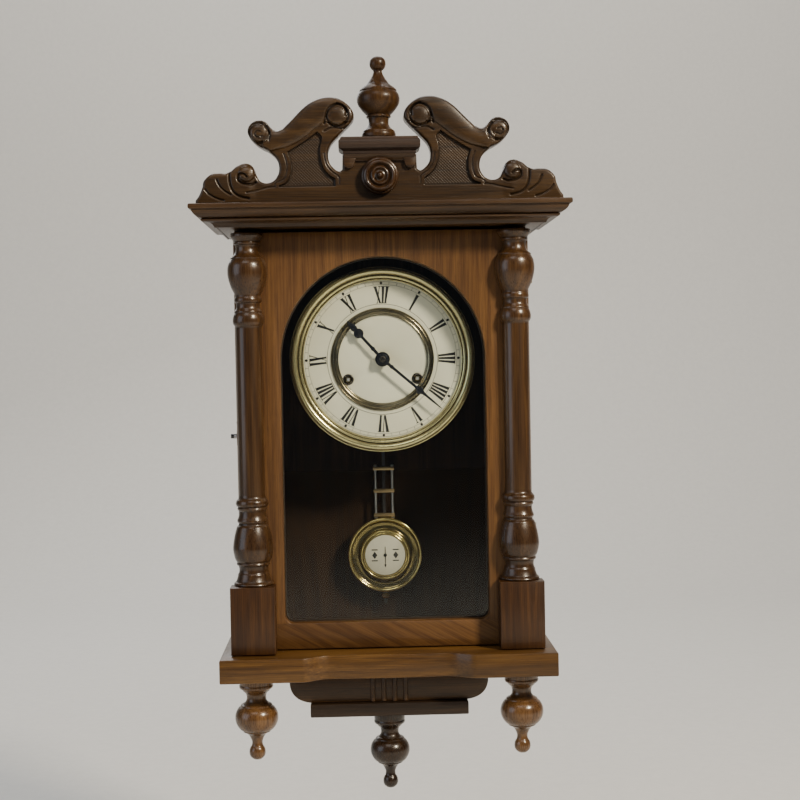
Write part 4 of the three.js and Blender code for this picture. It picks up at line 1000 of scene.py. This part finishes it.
# the bezel's grooves and steps get painted shade
dishing("bezel_turned", BEZEL_PROFILE, 0, 0, bezel_brass, CASE, ("dial_bezel",), 192,
        [(76.2, 77.0, 0.8), (79.6, 80.8, 0.8), (86.6, 87.2, 0.6)])
RING_PROFILE = raised([
    (41.8, -0.25), (41.8, 0.7, 1), (42.6, 1.3), (43.4, 1.0, 1), (44.6, 1.8), (45.6, 2.0), (46.8, 1.7),
    (47.6, 0.9, 1), (48.4, 1.2), (49.0, 0.6), (49.0, -0.25, 1), (41.8, -0.25, 1),
], rim)
dishing("inner_ring_turned", RING_PROFILE, 0, 0, ring_brass, CASE, ("dial_inner_ring",), 160)
EYELET_PROFILE = raised([
    (3.6, 0.02), (3.6, 0.7, 1), (4.1, 1.0), (4.9, 0.8), (5.3, 0.02, 1), (3.6, 0.02, 1),
], DIAL_FACE)
for number, (x, z) in enumerate(WINDING):
    dishing(f"winding_eyelet_{number}", EYELET_PROFILE, x, z, gun_metal, CASE, sides=48)


SQUARE_HALF = 1.74


def winding_end(name, x, z, front, body):
    """The squared, polished end of a winding arbor, with its corners taken off."""
    rings = []
    for depth, half in ((front - 3.0, SQUARE_HALF), (front - 0.5, SQUARE_HALF), (front + 0.1, 1.3)):
        corner = half * 0.78
        ring = [(half, corner), (corner, half), (-corner, half), (-half, corner), (-half, -corner),
                (-corner, -half), (corner, -half), (half, -corner)]
        rings.append([(x + px, depth, z + pz) for px, pz in ring])
    lofted(name, rings, bright_steel, body)


for use, place in zip(("time", "strike"), WINDING):
    winding_end(f"winding_end_{use}", *place, limits(f"barrel_{use}")[3], f"{use}_arbor")

INK_BACK = DIAL_FACE + 0.02
INK_FRONT = DIAL_FACE + 0.09


class Print:
    """Thin printed marks gathered into one mesh, each a flat prism standing on the dial."""

    def __init__(self):
        self.points = []
        self.faces = []

    def ring_points(self, loop):
        for depth in (INK_BACK, INK_FRONT):
            self.points += [(x, depth, z) for x, z in loop]

    def loop(self, loop):
        count = len(loop)
        base = len(self.points)
        self.ring_points(loop)
        self.faces += [tuple(range(base, base + count)), tuple(range(base + count, base + 2 * count))]
        self.faces += bridge(base, base + count, count)

    def ring(self, inner, outer, count=180):
        base = len(self.points)
        for radius in (inner, outer):
            self.ring_points(circle(0, 0, radius, count))
        for a, b in ((0, 2), (2, 3), (3, 1), (1, 0)):
            self.faces += bridge(base + a * count, base + b * count, count)

    def made(self, name, material):
        return piece(name, self.points, self.faces, material, CASE, crease=20.0)


# the Roman figures stand between two radii, and their strokes and letters have these widths
FIGURES = ["XII", "I", "II", "III", "IIII", "V", "VI", "VII", "VIII", "IX", "X", "XI"]
FIGURE_INNER = 53.2
FIGURE_OUTER = 69.4
STROKE = 2.45
HAIR = 0.75
SERIF = 0.62
WIDTHS = {"I": 3.6, "V": 6.9, "X": 7.1}


def figure_strokes(text):
    """Quadrilaterals for a Roman figure: x across it, y from 0 at its foot to 1 at its head."""
    total = sum(WIDTHS[letter] for letter in text)
    x = -total / 2
    strokes = []

    def bar(foot, head, thick):
        strokes.append([(foot, 0), (foot + thick, 0), (head + thick, 1), (head, 1)])

    def serif(centre, level, half):
        depth = SERIF / (FIGURE_OUTER - FIGURE_INNER)
        low = 0 if level == 0 else 1 - depth
        strokes.append(oblong(centre - half, centre + half, low, low + depth))

    for letter in text:
        width = WIDTHS[letter]
        middle = x + width / 2
        if letter == "I":
            bar(middle - STROKE / 2, middle - STROKE / 2, STROKE)
            serif(middle, 0, width / 2 - 0.05)
            serif(middle, 1, width / 2 - 0.05)
        elif letter == "V":
            bar(middle - STROKE * 0.6, x + 0.7, STROKE)
            bar(middle + 0.1, x + width - 1.5, HAIR)
            serif(x + 1.75, 1, 1.6)
            serif(x + width - 1.25, 1, 1.2)
        else:
            bar(x + width - 2.8, x + 0.7, STROKE)
            bar(x + 1.2, x + width - 1.7, HAIR)
            serif(x + width - 1.75, 0, 1.6)
            serif(x + 1.75, 1, 1.6)
            serif(x + 1.45, 0, 1.2)
            serif(x + width - 1.45, 1, 1.2)
        x += width
    return strokes


SPOT_RADIUS = 72.3
TRACK_LINES = ((52.2, 52.6), (70.6, 70.85), (73.6, 73.85))
TICK_INNER = 70.7
TICK_OUTER = 73.7
TICK_HALF = 0.16


def on_dial(radius, turn):
    """The point at a radius and a clockwise angle from XII."""
    return (radius * math.sin(turn), radius * math.cos(turn))


def print_dial():
    """The figures with a spot outside each, three fine circles, and the ticks of the minute track."""
    black = Print()
    span = FIGURE_OUTER - FIGURE_INNER
    for hour, text in enumerate(FIGURES):
        angle = math.radians(30 * hour)
        for stroke in figure_strokes(text):
            # a figure is narrower at its foot, which is nearer the centre
            black.loop([on_dial(FIGURE_INNER + span * up,
                                angle + across * (0.8 + 0.2 * up) / FIGURE_INNER * 0.86)
                        for across, up in stroke])
        black.loop(circle(*on_dial(SPOT_RADIUS, angle), 1.3, 16))
    for inner, outer in TRACK_LINES:
        black.ring(inner, outer)
    for minute in range(60):
        if minute % 5 == 0:
            continue
        angle = math.radians(6 * minute)
        corners = ((TICK_INNER, -1), (TICK_INNER, 1), (TICK_OUTER, 1), (TICK_OUTER, -1))
        black.loop([on_dial(radius, angle + side * TICK_HALF / radius) for radius, side in corners])
    black.made("dial_printing", dial_black)


print_dial()

# ------------------------------------------------------------------ the hands

HOUR_ANGLE = 318.2
MINUTE_ANGLE = 130.8


# the hour hand's bulb, between its stem and its leaf
BULB_Z = 33.2
BULB_RADIUS = 4.7


def turned_loop(half, angle):
    """A symmetrical outline given by its right half from the foot up, turned clockwise from XII."""
    turn = math.radians(angle)
    return [(x * math.cos(turn) + z * math.sin(turn), -x * math.sin(turn) + z * math.cos(turn))
            for x, z in mirror_loop(half)]


def boss_half(radius, angles):
    """The right half of a hand's round boss, from its lowest point up, by angles in degrees."""
    turns = [math.radians(angle) for angle in angles]
    return [(0.0, -radius)] + [(radius * math.sin(a), -radius * math.cos(a)) for a in turns]


def shape_hands():
    """Both hands, from the right half of each outline while it points to XII."""
    hour = boss_half(7.0, range(10, 171, 8))
    hour += [(1.6, 8.0), (1.45, 12.0), (2.1, 13.0), (2.1, 14.0), (1.45, 15.0), (1.35, 28.6)]
    hour += arc(0.0, BULB_Z, BULB_RADIUS, -70, 50, 12)
    hour += [(2.3, 37.6), (2.9, 38.6), (3.2, 39.8), (2.7, 42.0), (1.8, 44.4), (0.95, 46.8), (0.45, 48.8),
             (0.0, 50.0)]
    minute = boss_half(5.0, range(12, 165, 9))
    minute += [(1.6, 6.4), (1.35, 10.0), (1.9, 11.0), (1.9, 11.8), (1.35, 12.8), (1.25, 39.6), (1.6, 42.0),
               (2.6, 44.2), (4.0, 46.0), (2.7, 48.0), (1.6, 50.2), (1.25, 52.6), (1.0, 62.0), (0.45, 72.0),
               (0.0, 73.5)]
    for body, half, angle, bore in (("hour", hour, HOUR_ANGLE, circle(0, 0, 4.9, 32)),
                                    ("minute", minute, MINUTE_ANGLE, circle(0, 0, 1.8, 24))):
        node = f"{body}_hand"
        slab(f"{node}_shaped", turned_loop(half, angle), *limits(node)[2:4], black_steel, body,
             "black_steel", (node,), 0.22, holes=[bore])


shape_hands()
low, high = limits("hand_nut")[2:4]
dishing("hand_nut_turned", [
    (1.85, low), (1.85, high - 0.2, 1), (2.2, high + 0.1), (2.7, high - 0.2), (3.0, high - 0.9),
    (3.0, low, 1), (1.85, low, 1)], 0, 0, gun_metal, "minute", ("hand_nut",), 48)
dishing("centre_arbor_end", [
    (0.0, high + 0.1), (1.0, high), (1.7, high - 0.1), (1.7, high - 0.18, 1), (0.0, high - 0.18, 1)],
        0, 0, gun_metal, "minute", sides=32)

# ------------------------------------------------------------------ the pendulum

PENDULUM = "pendulum"
GRID_DEPTH = 20.0
bob_left, bob_right, bob_back, _, bob_low, bob_high = limits("bob_shell")
BOB_RADIUS = (bob_right - bob_left) / 2
BOB_Z = (bob_low + bob_high) / 2
# the depths are measured from the floor of the dish, where the enamel lies
BOB_FLOOR = 6.4
BOB_PROFILE = raised([
    (0, 0), (20.0, 0, 1), (20.2, 0.9), (20.9, 1.7), (21.8, 1.5), (22.4, 0.9, 1), (23.0, 1.3),
    (24.0, 1.1), (24.7, 0.4, 1), (25.2, -0.9), (26.4, -1.9), (29.2, -2.3), (32.0, -1.7),
    (33.4, -0.9, 1), (33.9, -0.1), (35.1, 0.5), (36.4, -0.1), (BOB_RADIUS, -1.6),
    (BOB_RADIUS - 0.1, 2.2 - BOB_FLOOR), (BOB_RADIUS - 0.8, -BOB_FLOOR, 1), (0, -BOB_FLOOR, 1),
], bob_back + BOB_FLOOR)
# the dish between the rims gets painted shade
dishing("bob_turned", BOB_PROFILE, 0, BOB_Z, bob_brass, PENDULUM, ("bob_shell",), 160,
        [(25.0, 33.2, 0.72)])
low, high = limits("bob_face")[2:4]
ENAMEL_RADIUS = 19.8
slab("bob_enamel", circle(0, BOB_Z, ENAMEL_RADIUS, 120), low, high, bob_white, PENDULUM, "bob_white",
     ("bob_face",), 0.25)

LOZENGE_X = 10.4
LOZENGE_BAR = 5.4


def build_bob_mark():
    """A plain pointer, centre dot and two lozenges, where a maker might put letters."""
    marks = [
        circle(0, 0, 1.7, 32),
        [(-0.35, -9.5), (0.35, -9.5), (0.5, -1.6), (0.35, 8.5), (-0.35, 8.5), (-0.5, -1.6)],
        [(-1.2, -9.2), (0, -12.4), (1.2, -9.2)],
    ]
    for middle in (-LOZENGE_X, LOZENGE_X):
        marks.append([(middle - 2.6, 0), (middle, -3.6), (middle + 2.6, 0), (middle, 3.6)])
        for level in (-LOZENGE_BAR, LOZENGE_BAR):
            marks.append(oblong(middle - 3.0, middle + 3.0, level - 0.55, level + 0.55))
    for number, mark in enumerate(marks):
        proud = 0.5 if number == 0 else 0.12
        slab(f"bob_mark_{number}", [(x, BOB_Z + z) for x, z in mark], high + 0.02, high + proud, bob_black,
             PENDULUM, "black_steel", rounding=0.04)


build_bob_mark()

BAR_HALF = 10.4
BAR_THICKNESS = 2.2
for number, z in enumerate((-108.3, -130.6, -154.6)):
    replaced = ("pendulum_grid",) if number == 0 else ()
    slab(f"grid_bar_{number}", oblong(-BAR_HALF, BAR_HALF, z - 1.8, z + 1.8), GRID_DEPTH - BAR_THICKNESS,
         GRID_DEPTH + BAR_THICKNESS, aged_brass, PENDULUM, "brass", replaced, 0.5)
ROD_PROFILE = [
    (0, -158.6), (1.2, -158.4), (1.9, -157.6), (1.9, -156.9, 1), (1.3, -156.6, 1), (1.3, -106.2, 1),
    (1.9, -106.0, 1), (1.9, -105.3), (1.2, -104.5), (0, -104.3),
]
for number, x in enumerate((-8.3, 8.3)):
    turning(f"grid_rod_{number}", ROD_PROFILE, x, GRID_DEPTH, steel, PENDULUM, (), sides=32)

nut_bottom, nut_top = limits("rating_nut")[4:6]


def build_rating_nut():
    """A knurled nut: shallow ridges around its edge, rounded top and bottom."""
    levels = [(nut_bottom, 3.1), (nut_bottom + 0.5, 3.7), (nut_bottom + 1.0, 3.95), (nut_top - 1.0, 3.95),
              (nut_top - 0.5, 3.7), (nut_top, 3.1)]
    rings = []
    for z, radius in levels:
        ring = []
        for k in range(96):
            angle = 2 * math.pi * k / 96
            reach = radius - (0.18 if k % 4 in (0, 1) and radius > 3.5 else 0)
            ring.append((reach * math.sin(angle), GRID_DEPTH + reach * math.cos(angle), z))
        rings.append(ring)
    lofted("rating_nut_knurled", rings, polished_brass, PENDULUM, ("rating_nut",))


build_rating_nut()

# ------------------------------------------------------------------ small hardware


def screw(name, x, z, depth, radius, body, material, direction=1):
    """A slotted countersunk screw head facing forwards (1) or backwards (-1)."""
    slot_half = 0.16 * radius
    rise = 0.28 * radius
    points = []
    rows = 6
    sides = 32
    for row in range(rows + 1):
        r = radius * (1 - row / rows)
        for k in range(sides):
            angle = 2 * math.pi * k / sides
            px, pz = r * math.cos(angle), r * math.sin(angle)
            lift = rise * (1 - (r / radius) ** 2)
            if abs(pz) < slot_half and r < radius * 0.97:
                lift -= 0.3 * radius
            points.append((x + px, depth + direction * lift, z + pz))
    base = len(points)
    points += [(x + radius * math.cos(2 * math.pi * k / sides), depth - direction * 0.6,
                z + radius * math.sin(2 * math.pi * k / sides)) for k in range(sides)]
    faces = walls(0, rows + 1, sides) + bridge(0, base, sides) + [tuple(range(base, base + sides))]
    return weld(piece(name, points, faces, material, body))


# the four screws that hold the hanger plate, seen from behind
SCREW_DEPTH = 0.55
SCREW_RADIUS = 1.9
for number, (x, z) in enumerate([(-15.5, 96), (15.5, 96), (-15.5, 108), (15.5, 108)]):
    screw(f"hanger_screw_{number}", x, z, SCREW_DEPTH, SCREW_RADIUS, CASE, steel, -1)

# CAD nodes that stay in sight as they are, by the material that each gets
KEPT = [
    (back_wood, ["back_board"]),
    (glass, ["door_glass"]),
    (dull_brass, ["case_hinge_upper", "case_hinge_lower", "door_hinge_upper", "door_hinge_lower",
                  "movement_back_plate", "movement_front_plate", "suspension_post", "centre_wheel",
                  "cannon_pinion", "hour_wheel", "minute_wheel", "escape_wheel", "barrel_time",
                  "barrel_strike"]),
    (steel, ["hanger_plate", "catch_pin", "movement_bracket", "anchor", "strike_hammer"]),
    (dark_steel, ["pendulum_rod"]),
    (black_steel, ["door_hook", "hook_screw", "gong_block"]),
    (spring_steel, ["gong_coil", "suspension_spring"]),
]
for material, nodes in KEPT:
    for node in nodes:
        slots = NODES[node].data.materials
        if len(slots) == 0:
            slots.append(material)
        for number in range(len(slots)):
            slots[number] = material

# ------------------------------------------------------------------ floor, wall, light and camera

# metres: the floor's height, where the wall stands, the bend's radius and the sweep's other edges
FLOOR = -0.62
BACKDROP = 3.4
BEND = 1.2
SWEEP_FRONT = -7.0
SWEEP_TOP = 9.0
SWEEP_HALF = 18.0


def pale(name, colour):
    """Matt paint with a fine, barely visible tooth."""
    tree = Tree(name)
    fine = tree.noise(tree.place((70, 70, 70)), 1.0, 5.0, 0.6)
    base = tree.mix(tree.span(fine, 0.3, 0.7), rgb(*colour), rgb(*[c * 0.95 for c in colour]))
    tree.bump(fine, 0.001, 0.3)
    return tree.set(Base_Color=base, Roughness=0.9)


def build_stage():
    """A pale floor that sweeps up into a pale wall, far behind the clock."""
    profile = [(SWEEP_FRONT, FLOOR)] + arc(BACKDROP - BEND, FLOOR + BEND, BEND, -90, 0, 24)
    profile.append((BACKDROP, SWEEP_TOP))
    corners = [(x, y, z) for y, z in profile for x in (-SWEEP_HALF, SWEEP_HALF)]
    faces = [(2 * i, 2 * i + 1, 2 * i + 3, 2 * i + 2) for i in range(len(profile) - 1)]
    mesh = bpy.data.meshes.new("sweep")
    mesh.from_pydata(corners, [], faces)
    mesh.polygons.foreach_set("use_smooth", [True] * len(faces))
    mesh.materials.append(pale("pale_sweep", (0.72, 0.71, 0.68)))
    sweep = bpy.data.objects.new("sweep", mesh)
    bpy.context.scene.collection.objects.link(sweep)


build_stage()


def light(name, place, aim, size, power, colour):
    """A rectangular lamp at a place, in metres, turned towards its aim; its power is in watts."""
    data = bpy.data.lights.new(name, "AREA")
    data.shape = "RECTANGLE"
    data.size = size[0]
    data.size_y = size[1]
    data.energy = power
    data.color = colour
    lamp = bpy.data.objects.new(name, data)
    bpy.context.scene.collection.objects.link(lamp)
    lamp.location = place
    lamp.rotation_euler = (Vector(aim) - Vector(place)).to_track_quat("-Z", "Y").to_euler()


light("key", (1.55, -1.75, 1.4), (0, -0.08, -0.02), (0.36, 0.36), 105, (1.0, 0.86, 0.66))
light("fill_left", (-2.4, -1.3, 0.5), (0, -0.05, -0.02), (1.6, 1.8), 19, (0.78, 0.87, 1.0))
light("front_top", (-0.5, -2.0, 2.3), (0, 0, -0.05), (1.4, 1.0), 14, (1.0, 0.96, 0.9))
light("back_soft", (-0.9, 2.2, 1.5), (0, 0, 0), (1.8, 1.8), 20, (0.97, 0.98, 1.0))
light("wall_wash", (0.0, 1.2, 3.2), (0, 3.4, 0.3), (3.0, 0.8), 80, (1.0, 0.98, 0.95))

WORLD_COLOUR = rgb(0.74, 0.78, 0.84)
WORLD_STRENGTH = 0.12
world = bpy.data.worlds.new("studio")
world.use_nodes = True
sky = world.node_tree.nodes["Background"].inputs
sky["Color"].default_value = WORLD_COLOUR
sky["Strength"].default_value = WORLD_STRENGTH
bpy.context.scene.world = world

# metres, and radians to the right, upwards and clockwise; the lens and the sensor are in millimetres
CAMERA_PLACE = (-0.0238, -1.5071, 0.001)
CAMERA_YAW = 0.0279
CAMERA_PITCH = -0.0281
CAMERA_ROLL = -0.0188
CAMERA_LENS = 67.5
CAMERA_SENSOR = 36.0
forward = Vector((math.sin(CAMERA_YAW) * math.cos(CAMERA_PITCH),
                  math.cos(CAMERA_YAW) * math.cos(CAMERA_PITCH), math.sin(CAMERA_PITCH)))
level_right = Vector((math.cos(CAMERA_YAW), -math.sin(CAMERA_YAW), 0))
level_up = level_right.cross(forward)
turned_right = level_right * math.cos(CAMERA_ROLL) + level_up * math.sin(CAMERA_ROLL)
turned_up = -level_right * math.sin(CAMERA_ROLL) + level_up * math.cos(CAMERA_ROLL)
camera_data = bpy.data.cameras.new("camera")
camera_data.lens = CAMERA_LENS
camera_data.sensor_width = CAMERA_SENSOR
camera = bpy.data.objects.new("camera", camera_data)
bpy.context.scene.collection.objects.link(camera)
axes = Matrix((turned_right, turned_up, -forward)).transposed().to_4x4()
camera.matrix_world = Matrix.Translation(Vector(CAMERA_PLACE)) @ axes
bpy.context.scene.camera = camera
